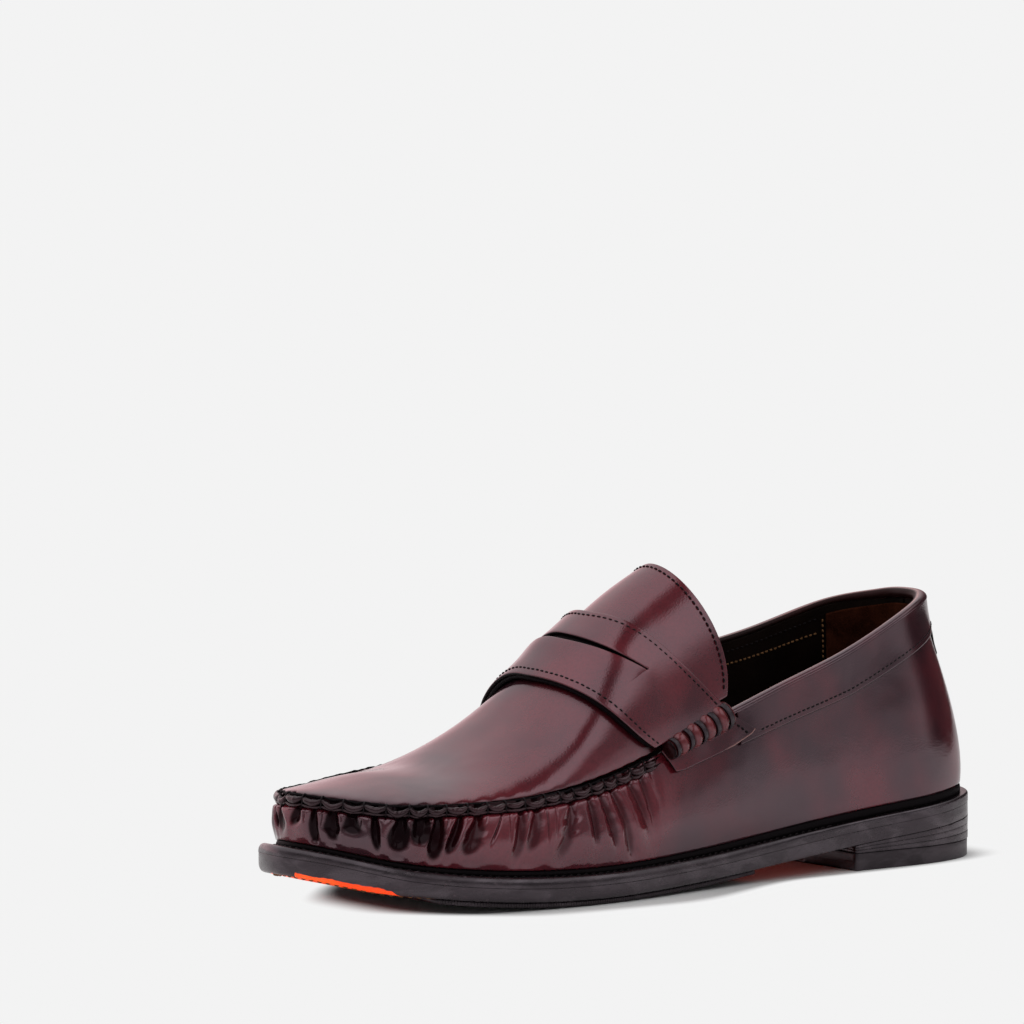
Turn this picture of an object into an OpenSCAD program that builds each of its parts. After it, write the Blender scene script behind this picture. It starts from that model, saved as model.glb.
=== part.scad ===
// Penny loafer, left shoe: welted sole, stacked heel, moccasin apron, saddle strap and beef rolls.
// Toe points along -X, the heel is at +X, the outer side of the foot is at -Y and +Z is up.
// The origin is on the ground at the middle of the heel.

/* [Sole] */
// Length of the outsole from the back of the heel to the toe
sole_len = 300; // [285:1:315]
// Width of the outsole across the ball of the foot
sole_w = 104.5; // [98:0.5:110]
// Thickness of the leather outsole
outsole_t = 5; // [4:0.1:5.5]
// Thickness of the welt
welt_t = 3.4; // [3:0.1:4]
// Thickness of the rubber forefoot tread
tread_t = 1.9; // [1.2:0.1:1.9]

/* [Heel] */
// Distance from the back of the heel to its breast
heel_len = 72; // [66:1:76]
// Thickness of the rubber top piece
top_piece_t = 6.5; // [5:0.1:7]
// Number of nails in the top piece
nail_count = 9; // [5:1:13]
// Diameter of a heel nail
nail_d = 1.8; // [1.2:0.1:2.4]

/* [Upper] */
// Height of the back of the upper above the welt
back_rise = 73.8; // [66:0.1:80]
// Thickness of the upper leather
upper_t = 1.8; // [1.4:0.1:2]
// Thickness of the lining leather
lining_t = 0.9; // [0.7:0.1:1]
// Thickness of the saddle strap
strap_t = 1.8; // [1.4:0.1:2.2]
// Thickness of the thread
thread_t = 0.9; // [0.6:0.1:1.2]

/* [Tongue] */
// Gap between the fixed tongue root and the flap that folds
fold_gap = 0.9; // [0.5:0.1:1.5]

/* [Hidden] */

// The stations run round the shoe: 0 at the back of the heel, along the outer side to 10 at the toe tip,
// and back along the inner side to 20. Each table holds its values for stations 0 to 10 of one side.
toe = 10;
ring = 20;
sole_back = [0, 8, 32, 70, 110, 150, 190, 225, 258, 284, 299.5];
sole_outer = [0, 23, 34, 35, 38, 44, 50, 49.5, 42, 26.5, -4.5];
sole_inner = [0, 23, 33.5, 31.5, 30.5, 39, 50.5, 54.5, 49, 35.5, 4.5];
edge_back = [17.5, 21, 39, 72, 109, 147, 187, 219, 250, 277, 292];
edge_outer = [0, 12.5, 23.5, 28, 31, 33.5, 38.5, 40.5, 34.5, 21, -4.5];
edge_inner = [0, 12.5, 23.5, 28, 30, 34.5, 41, 45, 41.5, 30.5, 4.5];
edge_rise_outer = [73.8, 73.1, 70.2, 60, 51.9, 42.6, 32.9, 28, 24.4, 21.2, 19.4];
edge_rise_inner = [73.8, 73.1, 71.2, 64.5, 59.4, 48.1, 36.6, 32, 26.1, 20.8, 19.4];
feather_inset = [3, 3, 3, 3.4, 4, 4.6, 5, 5.4, 5.6, 6, 6.6];
rand_rise = [2.9, 2.9, 2.9, 2.8, 2.4, 1.9, 1.6, 1.6, 1.6, 1.6, 1.6];
low_bulge = [2.4, 2.5, 2.8, 3, 3, 3.5, 4, 4, 3.5, 2.4, 1.2];
high_bulge = [1.6, 1.8, 2.2, 2, 2, 4, 5, 5, 4, 2.8, 1.6];
// Crest of the instep from the toe tip to beyond the tongue: distance from the heel, side, rise over the welt
crest = [[292, 4.5, 19.4], [264, 4.2, 29.9], [237, 3.4, 35], [208, 3, 51.6], [178, -1, 76.8], [152, 1, 91.8],
    [124, 1, 105]];
// How full the arch is beside each crest point: 1 for a plain cosine, less for fuller, more for hollower
crown_outer = [1, 0.96, 0.9, 0.84, 0.6, 0.57, 0.55];
crown_inner = [1, 1.3, 1.65, 1.85, 1.35, 0.7, 0.7];
// Height of the outsole's underside every 30 mm from the heel
sole_rocker = [15.5, 12.97, 10.44, 7.8, 5.1, 3.1, 2.1, 2.1, 3.6, 7.2, 14.3];
rocker_step = 30;
nominal_len = 300;
nominal_w = 104.5;
nominal_rise = 73.8;
heel_centre = 36;
gap = 0.1;
// Wider clearance between curved layers, whose facets don't match
ply = 0.25;
sole_t = outsole_t + ply + welt_t;
len_k = sole_len / nominal_len;
wid_k = sole_w / nominal_w;
rise_k = back_rise / nominal_rise;
// Every quarter station, for the pieces that close round the whole shoe
quarters = [for (i = [0:4 * ring - 1]) i / 4];
// Ends of the regions along the stations
roll_rear = 4.62;
roll_front = 5.36;
seam_end = 5.5;
// Colours
oxblood = [0.27, 0.13, 0.15];
roll_red = [0.42, 0.18, 0.19];
edge_black = [0.09, 0.08, 0.08];
lining_brown = [0.13, 0.10, 0.09];
thread_black = [0.05, 0.05, 0.05];
thread_tan = [0.72, 0.52, 0.33];
steel = [0.62, 0.62, 0.64];
board_tan = [0.66, 0.52, 0.36];

// ---- curves and surfaces ----

// Full table round the shoe from the values of the outer side and of the inner side
function around(outer, inner, outer_sign = 1) =
    concat([for (v = outer) v * outer_sign], [for (i = [toe - 1:-1:1]) inner[i]]);
function at(list, i) = list[(i % len(list) + len(list)) % len(list)];
function hold(list, i) = list[max(0, min(len(list) - 1, i))];
function blend4(a, b, c, d, t) =
    0.5 * (2 * b + (c - a) * t + (2 * a - 5 * b + 4 * c - d) * t * t + (3 * b - a - 3 * c + d) * t * t * t);
// Smooth curve through a closed table
function ring_at(list, u) = let (i = floor(u))
    blend4(at(list, i - 1), at(list, i), at(list, i + 1), at(list, i + 2), u - i);
// Smooth curve through an open table
function line_at(list, u) = let (i = max(0, min(len(list) - 2, floor(u))))
    blend4(hold(list, i - 1), hold(list, i), hold(list, i + 1), hold(list, i + 2), u - i);

sole_s = around(sole_back, sole_back);
sole_y = around(sole_outer, sole_inner, -1);
edge_s = around(edge_back, edge_back);
edge_y = around(edge_outer, edge_inner, -1);
edge_rise = around(edge_rise_outer, edge_rise_inner);
inset_ring = around(feather_inset, feather_inset);
rand_ring = around(rand_rise, rand_rise);
low_ring = around(low_bulge, low_bulge);
high_ring = around(high_bulge, high_bulge);

// Height of the outsole's underside at a distance s from the back of the heel
function underside(s) = line_at(sole_rocker, max(0, min(nominal_len, s)) / rocker_step);
function place(s, y, z) = [heel_centre - s * len_k, y * wid_k, z];
function sole_edge(u) = [ring_at(sole_s, u), ring_at(sole_y, u)];
function sole_normal(u) = let (d = sole_edge(u + 0.01) - sole_edge(u - 0.01)) [d[1], -d[0]] / norm(d);
function inset_edge(u, inset) = sole_edge(u) - sole_normal(u) * inset;
function sole_point(u, inset, lift) = let (p = inset_edge(u, inset))
    place(p[0], p[1], underside(p[0]) + lift);
// Top edge of the upper: the topline and, ahead of the strap, the crest of the moccasin seam
function top_edge(u) = let (s = ring_at(edge_s, u))
    place(s, ring_at(edge_y, u), underside(s) + sole_t + ring_at(edge_rise, u) * rise_k);
function flat_normal(u) = let (n = sole_normal(u)) [-n[0], n[1], 0];

// Wall of the upper: station u, and v from 0 at the welt to 1 at the top edge
function wall(u, v) = let (
    a = sole_point(u, ring_at(inset_ring, u), sole_t + ring_at(rand_ring, u) + gap),
    d = top_edge(u),
    n = flat_normal(u),
    h = d[2] - a[2],
    b = a + n * ring_at(low_ring, u) + [0, 0, h * 0.38],
    c = d + n * ring_at(high_ring, u) - [0, 0, h * 0.33],
    w = 1 - v
) w * w * w * a + 3 * w * w * v * b + 3 * w * v * v * c + v * v * v * d;
function wall_skin(u, v, lift) = let (
    e = 0.01,
    n = cross(wall(u, v + e) - wall(u, v - e), wall(u + e, v) - wall(u - e, v))
) wall(u, v) + n / norm(n) * lift;

// Top of the foot: t from 0 at the toe tip towards the ankle, q from -1 on the outer side to 1
function instep(t, q) = let (
    outer = top_edge(toe - t),
    inner = top_edge(toe + t),
    c = line_at(crest, t),
    top = place(c[0], c[1], underside(c[0]) + sole_t + c[2] * rise_k),
    middle = (outer + inner) / 2,
    crown = line_at(q < 0 ? crown_outer : crown_inner, t)
) middle + (inner - outer) / 2 * sin(90 * q) + (top - middle) * pow(max(0, cos(90 * q)), 2 * crown);
function instep_skin(t, q, lift) = let (
    e = 0.01,
    n = cross(instep(t + e, q) - instep(t - e, q), instep(t, q + e) - instep(t, q - e))
) instep(t, q) + n / norm(n) * lift;

// Edges of the strap, the tongue and the slot across the instep
function strap_front(q) = 3.43 + 0.235 * sqrt(q * q + 0.01) + 0.915 * q * q;
function strap_rear(q) = 4.21 + 1.24 * sqrt(q * q + 0.02);
function tongue_end(q) = 5.51 + 0.5 * q * q - 0.65 * q * q * q * q;
function slot_front(q) = 3.85 + 2.14 * q * q;
function slot_rear(q) = 3.98 + 1.755 * q * q;
slot_side = 0.56;
// Even steps from a to b
function steps(a, b, n) = [for (i = [0:n]) a + (b - a) * i / n];
// Steps that crowd towards both ends
function eased(a, b, n) = [for (i = [0:n]) a + (b - a) * (1 - cos(180 * i / n)) / 2];

// ---- solids ----

function tri_volume(p, f) = p[f[0]] * cross(p[f[1]], p[f[2]]);
function ones(n) = [for (i = [1:n]) 1];
// Solid swept through sections of equal length, with ends closed in strips, or closed on itself
module loft(sections, closed = false) {
    n = len(sections);
    m = len(sections[0]);
    points = [for (s = sections) each s];
    sides = [for (i = [0:n - (closed ? 1 : 2)], j = [0:m - 1]) let (
        a = i * m + j,
        b = i * m + (j + 1) % m,
        c = ((i + 1) % n) * m + (j + 1) % m,
        d = ((i + 1) % n) * m + j
    ) each [[a, b, c], [a, c, d]]];
    cap = [for (j = [0:m / 2 - 2]) each [[j, m - 1 - j, j + 1], [j + 1, m - 1 - j, m - 2 - j]]];
    far = [for (f = cap) [f[0], f[2], f[1]] + ones(3) * ((n - 1) * m)];
    faces = closed ? sides : concat(sides, cap, far);
    volume = ones(len(faces)) * [for (f = faces) tri_volume(points, f)];
    polyhedron(points, volume < 0 ? faces : [for (f = faces) [f[0], f[2], f[1]]]);
}

// Piece of leather on the wall: v from low(u) to high(u), between two lifts off the skin
module wall_piece(us, low, high, rows, over, under) {
    loft([for (u = us) concat(
        [for (v = steps(low(u), high(u), rows)) wall_skin(u, v, over(u, v))],
        [for (v = steps(high(u), low(u), rows)) wall_skin(u, v, under(u, v))]
    )]);
}

// Piece of leather over the instep: for each q the rows run between t = front(q) and rear(q),
// and each row is narrowed by the factor squeeze(t)
module instep_piece(qs, front, rear, rows, over, under, squeeze = function(t) 1) {
    loft([for (q = qs) concat(
        [for (t = steps(front(q), rear(q), rows)) instep_skin(t, q * squeeze(t), over)],
        [for (t = steps(rear(q), front(q), rows)) instep_skin(t, q * squeeze(t), under)]
    )]);
}

// Stations this close to the back and to the toe tip end a slab with a short straight edge
tip = 0.02;
function same(k) = function(x) k;
function flat(k) = function(x, y) k;

// Slab between the outer and the inner side of the sole, from station a to station b
module slab(a, b, inset, low, high, count = 36) {
    loft([for (t = eased(max(a, tip), min(b, toe - tip), count)) [
        sole_point(t, inset, high),
        sole_point(ring - t, inset, high),
        sole_point(ring - t, inset, low),
        sole_point(t, inset, low)
    ]]);
}

// Ring of rectangular section under the whole edge of the upper
module edge_ring(outer_inset, inner_inset, low, high) {
    loft([for (u = quarters) [
        sole_point(u, outer_inset, high),
        sole_point(u, inner_inset, high),
        sole_point(u, inner_inset, low),
        sole_point(u, outer_inset, low)
    ]], closed = true);
}

// One stitch: a short bar from a to b that lies on a surface with normal n
module stitch(a, b, n, width, height) {
    d = (b - a) / norm(b - a);
    w = cross(n, d) * width / 2;
    loft([for (p = [a, b]) [p - w, p + w, p + w + n * height, p - w + n * height]]);
}

// Row of stitches along a list of points on a surface given with a matching list of higher points
module stitch_row(low, high, fill = 0.62) {
    for (i = [0:2:len(low) - 2]) {
        n = (high[i] - low[i]) / norm(high[i] - low[i]);
        stitch(low[i], low[i] + (low[i + 1] - low[i]) * fill * 2, n, thread_t, thread_t * 0.6);
    }
}

// Stitches on the wall along v = path(u), and over the instep along t = path(q)
module wall_stitches(us, path, lift) {
    stitch_row([for (u = us) wall_skin(u, path(u), lift)], [for (u = us) wall_skin(u, path(u), lift + 1)]);
}
module instep_stitches(qs, path, lift) {
    stitch_row([for (q = qs) instep_skin(path(q), q, lift)],
        [for (q = qs) instep_skin(path(q), q, lift + 1)]);
}

// ---- sole and heel ----

// Station on the side of the sole that lies a distance s from the back of the heel
function station_of(s, a = 0, b = toe) = b - a < 0.001 ? a : let (m = (a + b) / 2)
    ring_at(sole_s, m) < s ? station_of(s, m, b) : station_of(s, a, m);
breast = station_of(heel_len);
heel_steps = 20;
function heel_rise(u) = underside(sole_edge(u)[0]) - gap - top_piece_t;

// Part k of the stack of lifts between the top piece and the outsole, k from 0 to 1
function lift_point(u, k, raise) = let (p = sole_edge(u))
    place(p[0], p[1], top_piece_t + heel_rise(u) * k + raise);
module lift_slab(k0, k1) {
    loft([for (t = eased(tip, breast, heel_steps)) [
        lift_point(t, k1, 0),
        lift_point(ring - t, k1, 0),
        lift_point(ring - t, k0, gap),
        lift_point(t, k0, gap)
    ]]);
}

nail_inset = 9;
function nail_place(i) = let (
    t = 0.86 * breast * (2 * i / (nail_count - 1) - 1),
    p = inset_edge(t < 0 ? ring + t : t, nail_inset)
) place(p[0], p[1], 0);

module each_nail(d, low, high) {
    for (i = [0:nail_count - 1])
        translate(nail_place(i) + [0, 0, low])
            cylinder(h = high - low, d = d, $fn = 16);
}

module heel_top_piece() {
    color(edge_black)
        difference() {
            linear_extrude(top_piece_t)
                polygon([for (t = concat(eased(tip, breast, heel_steps),
                    eased(ring - breast, ring - tip, heel_steps)))
                    let (p = sole_edge(t)) [heel_centre - p[0] * len_k, p[1] * wid_k]]);
            each_nail(nail_d + 2 * gap, -1, top_piece_t + 1);
            // Countersinks for the nail heads
            each_nail(nail_d * 2, -1, 1.2);
        }
}

// Nails drive up through the top piece into the first lift
module heel_nails() {
    color(steel)
        for (i = [0:nail_count - 1])
            translate(nail_place(i)) {
                translate([0, 0, 0.4])
                    cylinder(h = top_piece_t, d = nail_d, $fn = 16);
                translate([0, 0, 0.3])
                    cylinder(h = 0.8, d = nail_d * 1.8, $fn = 16);
            }
}

module heel_lift_1() {
    color(edge_black)
        difference() {
            lift_slab(0, 1 / 3);
            each_nail(nail_d + 2 * gap, 0, top_piece_t + 8);
        }
}

module heel_lift_2() {
    color(edge_black)
        lift_slab(1 / 3, 2 / 3);
}

module heel_lift_3() {
    color(edge_black)
        lift_slab(2 / 3, 1);
}

// The outsole grows thicker from the front of the tread to the toe
toe_extra = 1.3;
drop_from = 262;
drop_run = 26;
function toe_drop(u) = let (x = (sole_edge(u)[0] - drop_from) / drop_run, t = max(0, min(1, x)))
    toe_extra * t * t * (3 - 2 * t);
module outsole() {
    color("orangered")
        loft([for (t = eased(tip, toe - tip, 48)) [
            sole_point(t, 0, outsole_t),
            sole_point(ring - t, 0, outsole_t),
            sole_point(ring - t, 0, -toe_drop(ring - t)),
            sole_point(t, 0, -toe_drop(t))
        ]]);
}

tread_rear = station_of(122);
tread_front = station_of(drop_from);
module forefoot_tread() {
    color(edge_black)
        slab(tread_rear, tread_front, 1.5, -tread_t, -gap, 24);
}

welt_w = 11;
module welt() {
    color(edge_black)
        edge_ring(0.3, welt_w, outsole_t + ply, sole_t);
}

module welt_stitching() {
    front = breast + 0.26;
    us = steps(front, ring - front, 120);
    stitch_inset = 1.4;
    color(thread_black)
        stitch_row([for (u = us) sole_point(u, stitch_inset, sole_t + gap)],
            [for (u = us) sole_point(u, stitch_inset, sole_t + 1)]);
}

// Narrow black strip between the welt and the upper
module rand() {
    color(edge_black)
        loft([for (u = quarters) let (i = ring_at(inset_ring, u), h = ring_at(rand_ring, u)) [
            sole_point(u, i - 0.2, sole_t + h),
            sole_point(u, i + 2.6, sole_t + h),
            sole_point(u, i + 2.6, sole_t + ply),
            sole_point(u, i - 0.6, sole_t + ply)
        ]], closed = true);
}

module cork_filler() {
    color("peru")
        slab(station_of(136), station_of(286), welt_w + 1, outsole_t + ply, sole_t, 24);
}

module shank() {
    shank_w = 13;
    color(steel)
        loft([for (s = steps(38, 128, 10)) let (z = underside(s) + outsole_t + ply, y = -2) [
            place(s, y - shank_w / 2, z + 1.3),
            place(s, y + shank_w / 2, z + 1.3),
            place(s, y + shank_w / 2, z),
            place(s, y - shank_w / 2, z)
        ]]);
}

board_t = 2.2;
board_inset = 9;
module insole_board() {
    color(board_tan)
        slab(station_of(9), station_of(288), board_inset, sole_t + gap, sole_t + board_t, 30);
}

sock_t = 1.2;
sock_base = sole_t + board_t;
module sock_lining() {
    color(lining_brown)
        slab(station_of(10), station_of(286), board_inset + 1, sock_base + gap, sock_base + sock_t, 30);
}

module heel_pad() {
    color(lining_brown)
        slab(station_of(22), station_of(70), 16, sock_base + sock_t + gap, sock_base + sock_t + 2.4, 12);
}

// ---- wall of the upper ----

side_steps = 76;
// The gathered edge of the wall stands out in a bead along the moccasin seam
bead_t = 1.6;
function bead(u, v) = let (k = min(u, ring - u))
    k < seam_end || v < 0.8 ? 0 : bead_t * min(1, (k - seam_end) / 0.3);
// The leather is skived thinner towards the topline
function skive(v) = upper_t * (1 - 0.4 * max(0, (v - 0.8) / 0.2));

module vamp_wall() {
    back_seam = 0.012;
    color(oxblood)
        wall_piece(steps(back_seam, ring - back_seam, side_steps), same(0.02), same(0.985), 8,
            function(u, v) bead(u, v), function(u, v) -skive(v));
}

module heel_counter() {
    color(board_tan)
        wall_piece(steps(-2.7, 2.7, 20), same(0.04), function(u) 0.62 - 0.03 * u * u, 5,
            flat(-upper_t - ply), flat(-upper_t - 1));
}

module toe_puff() {
    color(board_tan)
        wall_piece(steps(8.1, 11.9, 16), same(0.06), same(0.78), 4,
            flat(-upper_t - ply), flat(-upper_t - 0.9));
}

stiff_t = 1.1;
// Depth of the lining behind the skin; it closes up where the stiffener and the skived leather end
function behind(v) =
    upper_t + gap + stiff_t * (1 - max(0, (v - 0.7) / 0.3)) - 0.4 * upper_t * max(0, (v - 0.8) / 0.2);
lining_rear = 0.03;
lining_front = 5.55;
module quarter_lining_lateral() {
    color(lining_brown)
        wall_piece(steps(lining_rear, lining_front, 22), same(0.06), same(0.975), 6,
            function(u, v) -behind(v) - gap, function(u, v) -behind(v) - lining_t);
}

module quarter_lining_medial() {
    color(lining_brown)
        wall_piece(steps(ring - lining_front, ring - lining_rear, 22), same(0.06), same(0.975), 6,
            function(u, v) -behind(v) - gap, function(u, v) -behind(v) - lining_t);
}

module toe_wall_lining() {
    color(lining_brown)
        wall_piece(steps(lining_front + 0.07, ring - lining_front - 0.07, 30), same(0.1), same(0.8), 4,
            flat(-upper_t - stiff_t - gap), flat(-upper_t - stiff_t - lining_t));
}

grip_front = 2;
module heel_grip() {
    color("saddlebrown")
        wall_piece(steps(-grip_front, grip_front, 20), function(u) 0.36 + 0.02 * u * u, same(0.93), 5,
            function(u, v) -behind(v) - lining_t - ply, function(u, v) -behind(v) - lining_t - 1);
}

// Lower edge of the collar band
function band_low(u) = let (k = u > toe ? ring - u : u) 0.73 + 0.12 * max(0, 1 - abs(k) / 3);
band_t = 0.9;
band_rear = 0.015;
band_front = 4.56;
module collar_band_lateral() {
    color(oxblood)
        wall_piece(steps(band_rear, band_front, 20), function(u) band_low(u), same(0.985), 3,
            flat(band_t + gap), flat(ply));
}

module collar_band_medial() {
    color(oxblood)
        wall_piece(steps(ring - band_front, ring - band_rear, 20), function(u) band_low(u), same(0.985), 3,
            flat(band_t + gap), flat(ply));
}

module collar_stitching() {
    path = function(u) band_low(u) + 0.03;
    from = band_rear + 0.045;
    to = roll_rear - tab_rear - 0.02;
    color(thread_black) {
        wall_stitches(steps(from, to, 58), path, band_t + ply);
        wall_stitches(steps(ring - to, ring - from, 58), path, band_t + ply);
    }
}

module heel_tab() {
    color(edge_black)
        wall_piece(steps(-0.9, 0.9, 12), same(0.66), function(u) band_low(u) - 0.01, 4,
            flat(band_t + gap), flat(ply));
}

module lining_stitching() {
    lift = -upper_t - stiff_t * 0.5 - lining_t - 0.9;
    from = grip_front + 0.1;
    to = roll_rear - 0.12;
    color(thread_tan)
        for (us = [steps(from, to, 30), steps(ring - to, ring - from, 30)])
            stitch_row([for (u = us) wall_skin(u, 0.8, lift)], [for (u = us) wall_skin(u, 0.8, lift - 1)]);
}

// Rolled leather edge along the topline from one beef roll round the heel to the other
module topline_binding() {
    r = 1.5;
    end = roll_rear - 0.1;
    color(oxblood)
        loft([for (u = steps(-end, end, 60)) let (
            n = flat_normal(u),
            c = wall(u, 0.985) - n * 1.1 + [0, 0, r + 0.9]
        ) [for (a = [0:60:359]) c + n * (r * 1.3 * cos(a)) + [0, 0, r * sin(a)]]]);
}

// ---- apron, strap and tongue ----

apron_outer = 0.89;
apron_inner = 0.85;
function apron_rear(q) = (strap_front(q) + strap_rear(q)) / 2 - 0.05;
module apron() {
    color(oxblood)
        instep_piece(steps(-apron_outer, apron_inner, 28), same(0.2), function(q) apron_rear(q), 30,
            0, -upper_t, function(t) 1 - 0.55 * pow(max(0, 1 - t / 1.3), 2));
}

// Thick thread over the gathered edge, one turn at each pleat
seam_stitches = 58;
module apron_stitching() {
    color(thread_black)
        for (u = steps(seam_end + 0.12, ring - seam_end - 0.12, seam_stitches)) {
            a = wall_skin(u, 0.86, bead_t + gap);
            b = wall_skin(u, 0.985, bead_t + gap);
            n = wall_skin(u, 0.9, 1) - wall_skin(u, 0.9, 0);
            stitch(a, b, n, thread_t * 1.4, thread_t);
        }
}

strap_side = 0.83;
backing_t = 0.8;
strap_base = ply + backing_t + ply;
module strap_slot() {
    instep_piece(steps(-slot_side, slot_side, 16), function(q) slot_front(q), function(q) slot_rear(q) + 0.02,
        2, strap_base + strap_t + 3, strap_base - 1);
}

module saddle_strap() {
    color(oxblood)
        difference() {
            instep_piece(steps(-strap_side, strap_side, 26), function(q) strap_front(q),
                function(q) strap_rear(q), 8, strap_base + strap_t, strap_base);
            strap_slot();
        }
}

module strap_backing() {
    color(edge_black)
        instep_piece(steps(-strap_side, strap_side, 26), function(q) strap_front(q) + 0.04,
            function(q) strap_rear(q) - 0.04, 10, strap_base - ply, ply + gap);
}

module strap_stitching() {
    lift = strap_base + strap_t + gap;
    qs = steps(-strap_side + 0.03, strap_side - 0.03, 44);
    color(thread_black) {
        instep_stitches(qs, function(q) strap_front(q) + 0.09, lift);
        instep_stitches(qs, function(q) strap_rear(q) - 0.09, lift);
    }
}

// Ends of the strap, folded down over the wall under the beef rolls
tab_low = 0.72;
tab_rear = 0.28;
module strap_tab(a, b) {
    wall_piece(steps(a, b, 8), same(tab_low), same(0.97), 3, flat(band_t + upper_t), flat(band_t + ply));
}

module strap_tab_lateral() {
    color(oxblood)
        strap_tab(roll_rear - tab_rear, roll_front);
}

module strap_tab_medial() {
    color(oxblood)
        strap_tab(ring - roll_front, ring - roll_rear + tab_rear);
}

// The roll tapers forwards and lies on the corner between the wall and the instep
roll_r0 = 4.6;
roll_r1 = 3;
function roll_at(k, side) = let (
    u = roll_rear + (roll_front - roll_rear) * k,
    r = roll_r0 + (roll_r1 - roll_r0) * k,
    w = side < 0 ? u : ring - u,
    n = flat_normal(w)
) [top_edge(w) + n * (r * 0.75 + 2.3) + [0, 0, r * 0.75 + 1.2], r];
module roll_tube(side, from, to, grow, count) {
    loft([for (k = steps(from, to, count)) let (
        c = roll_at(k, side),
        d = roll_at(k + 0.02, side)[0] - roll_at(k - 0.02, side)[0],
        x = cross(d, [0, 0, 1]) / norm(cross(d, [0, 0, 1])),
        y = cross(x, d) / norm(d)
    ) [for (a = [0:36:359]) c[0] + (x * cos(a) + y * sin(a)) * (c[1] + grow)]]);
}

module beef_roll_lateral() {
    color(roll_red)
        roll_tube(-1, 0, 1, 0, 6);
}

module beef_roll_medial() {
    color(roll_red)
        roll_tube(1, 0, 1, 0, 6);
}

// Turns of waxed thread, open rings that go over the roll
wrap_count = 5;
module roll_wraps(side) {
    for (i = [0:wrap_count - 1]) {
        k = 0.08 + 0.84 * i / (wrap_count - 1);
        difference() {
            roll_tube(side, k - 0.035, k + 0.035, 0.8, 1);
            roll_tube(side, k - 0.08, k + 0.08, gap, 1);
        }
    }
}

module roll_wraps_lateral() {
    color(thread_black)
        roll_wraps(-1);
}

module roll_wraps_medial() {
    color(thread_black)
        roll_wraps(1);
}

// The tongue folds along a line across its root, just behind the middle of the strap's rear edge
tongue_side = 0.86;
crest_step = 30;
function fold_line(q) = strap_rear(q) + fold_gap / crest_step;
module tongue_root() {
    color(oxblood)
        instep_piece(steps(-tongue_side, tongue_side, 18), function(q) apron_rear(q) + 0.06,
            function(q) strap_rear(q), 5, 0, -upper_t);
}

module tongue_flap() {
    color(oxblood)
        instep_piece(steps(-tongue_side, tongue_side, 20), function(q) fold_line(q),
            function(q) max(tongue_end(q), fold_line(q) + 0.06), 8, 0, -upper_t);
}

module tongue_lining() {
    color(lining_brown)
        instep_piece(steps(-tongue_side + 0.04, tongue_side - 0.04, 18), function(q) fold_line(q) + 0.03,
            function(q) max(tongue_end(q) - 0.04, fold_line(q) + 0.06), 6,
            -upper_t - gap, -upper_t - lining_t);
}

module tongue_stitching() {
    color(thread_black)
        instep_stitches(steps(-tongue_side + 0.06, tongue_side - 0.06, 44),
            function(q) tongue_end(q) - 0.12, gap);
}

module vamp_lining() {
    color(lining_brown)
        instep_piece(steps(-0.8, 0.8, 22), same(0.4), function(q) strap_rear(q) - 0.2, 18,
            -upper_t - ply - gap, -upper_t - lining_t);
}

heel_top_piece();
heel_nails();
heel_lift_1();
heel_lift_2();
heel_lift_3();
outsole();
forefoot_tread();
welt();
welt_stitching();
rand();
cork_filler();
shank();
insole_board();
sock_lining();
heel_pad();
vamp_wall();
heel_counter();
toe_puff();
apron();
apron_stitching();
saddle_strap();
strap_backing();
strap_stitching();
strap_tab_lateral();
strap_tab_medial();
beef_roll_lateral();
beef_roll_medial();
roll_wraps_lateral();
roll_wraps_medial();
tongue_root();
tongue_flap();
tongue_lining();
tongue_stitching();
collar_band_lateral();
collar_band_medial();
collar_stitching();
topline_binding();
heel_tab();
vamp_lining();
toe_wall_lining();
quarter_lining_lateral();
quarter_lining_medial();
heel_grip();
lining_stitching();
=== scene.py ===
"""Looks of the penny loafer: leather shells, gathered moccasin seam, stitching, sole and studio.

Lengths in the shape functions are millimetres; meshes are written in metres, in the frame of the CAD model.
Stations run round the shoe: 0 at the back of the heel, along the outer side to 10 at the toe, back to 20.
"""
import math

import bpy
import numpy as np
from mathutils import Matrix


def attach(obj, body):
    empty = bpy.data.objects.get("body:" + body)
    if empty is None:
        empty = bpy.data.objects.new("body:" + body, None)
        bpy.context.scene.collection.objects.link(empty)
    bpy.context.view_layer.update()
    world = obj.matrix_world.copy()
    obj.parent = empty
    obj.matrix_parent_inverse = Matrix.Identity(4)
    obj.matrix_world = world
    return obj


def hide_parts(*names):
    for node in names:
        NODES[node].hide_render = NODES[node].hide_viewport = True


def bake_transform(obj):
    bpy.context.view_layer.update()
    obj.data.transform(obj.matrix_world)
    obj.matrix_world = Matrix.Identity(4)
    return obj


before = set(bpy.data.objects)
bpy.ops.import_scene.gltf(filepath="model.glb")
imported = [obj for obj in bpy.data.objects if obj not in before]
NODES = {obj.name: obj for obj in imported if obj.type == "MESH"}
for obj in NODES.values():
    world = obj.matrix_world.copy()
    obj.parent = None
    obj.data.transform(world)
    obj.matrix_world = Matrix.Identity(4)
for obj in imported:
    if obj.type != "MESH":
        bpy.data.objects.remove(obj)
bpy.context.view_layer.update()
MM = 0.001
UP = np.array([0, 0, 1.0])

# ---------------------------------------------------------------- shape of the shoe

TOE, LAP = 10, 20
HEEL_CENTRE = 36.0
OUTSOLE_T, WELT_T, PLY = 5.0, 3.4, 0.25
SOLE_T = OUTSOLE_T + PLY + WELT_T


def around(outer, inner, sign=1):
    """Table round the whole shoe from the values of the outer side and of the inner side."""
    return np.array([v * sign for v in outer] + inner[-2:0:-1], float)


def mirrored(values):
    return around(values, values)


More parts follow.
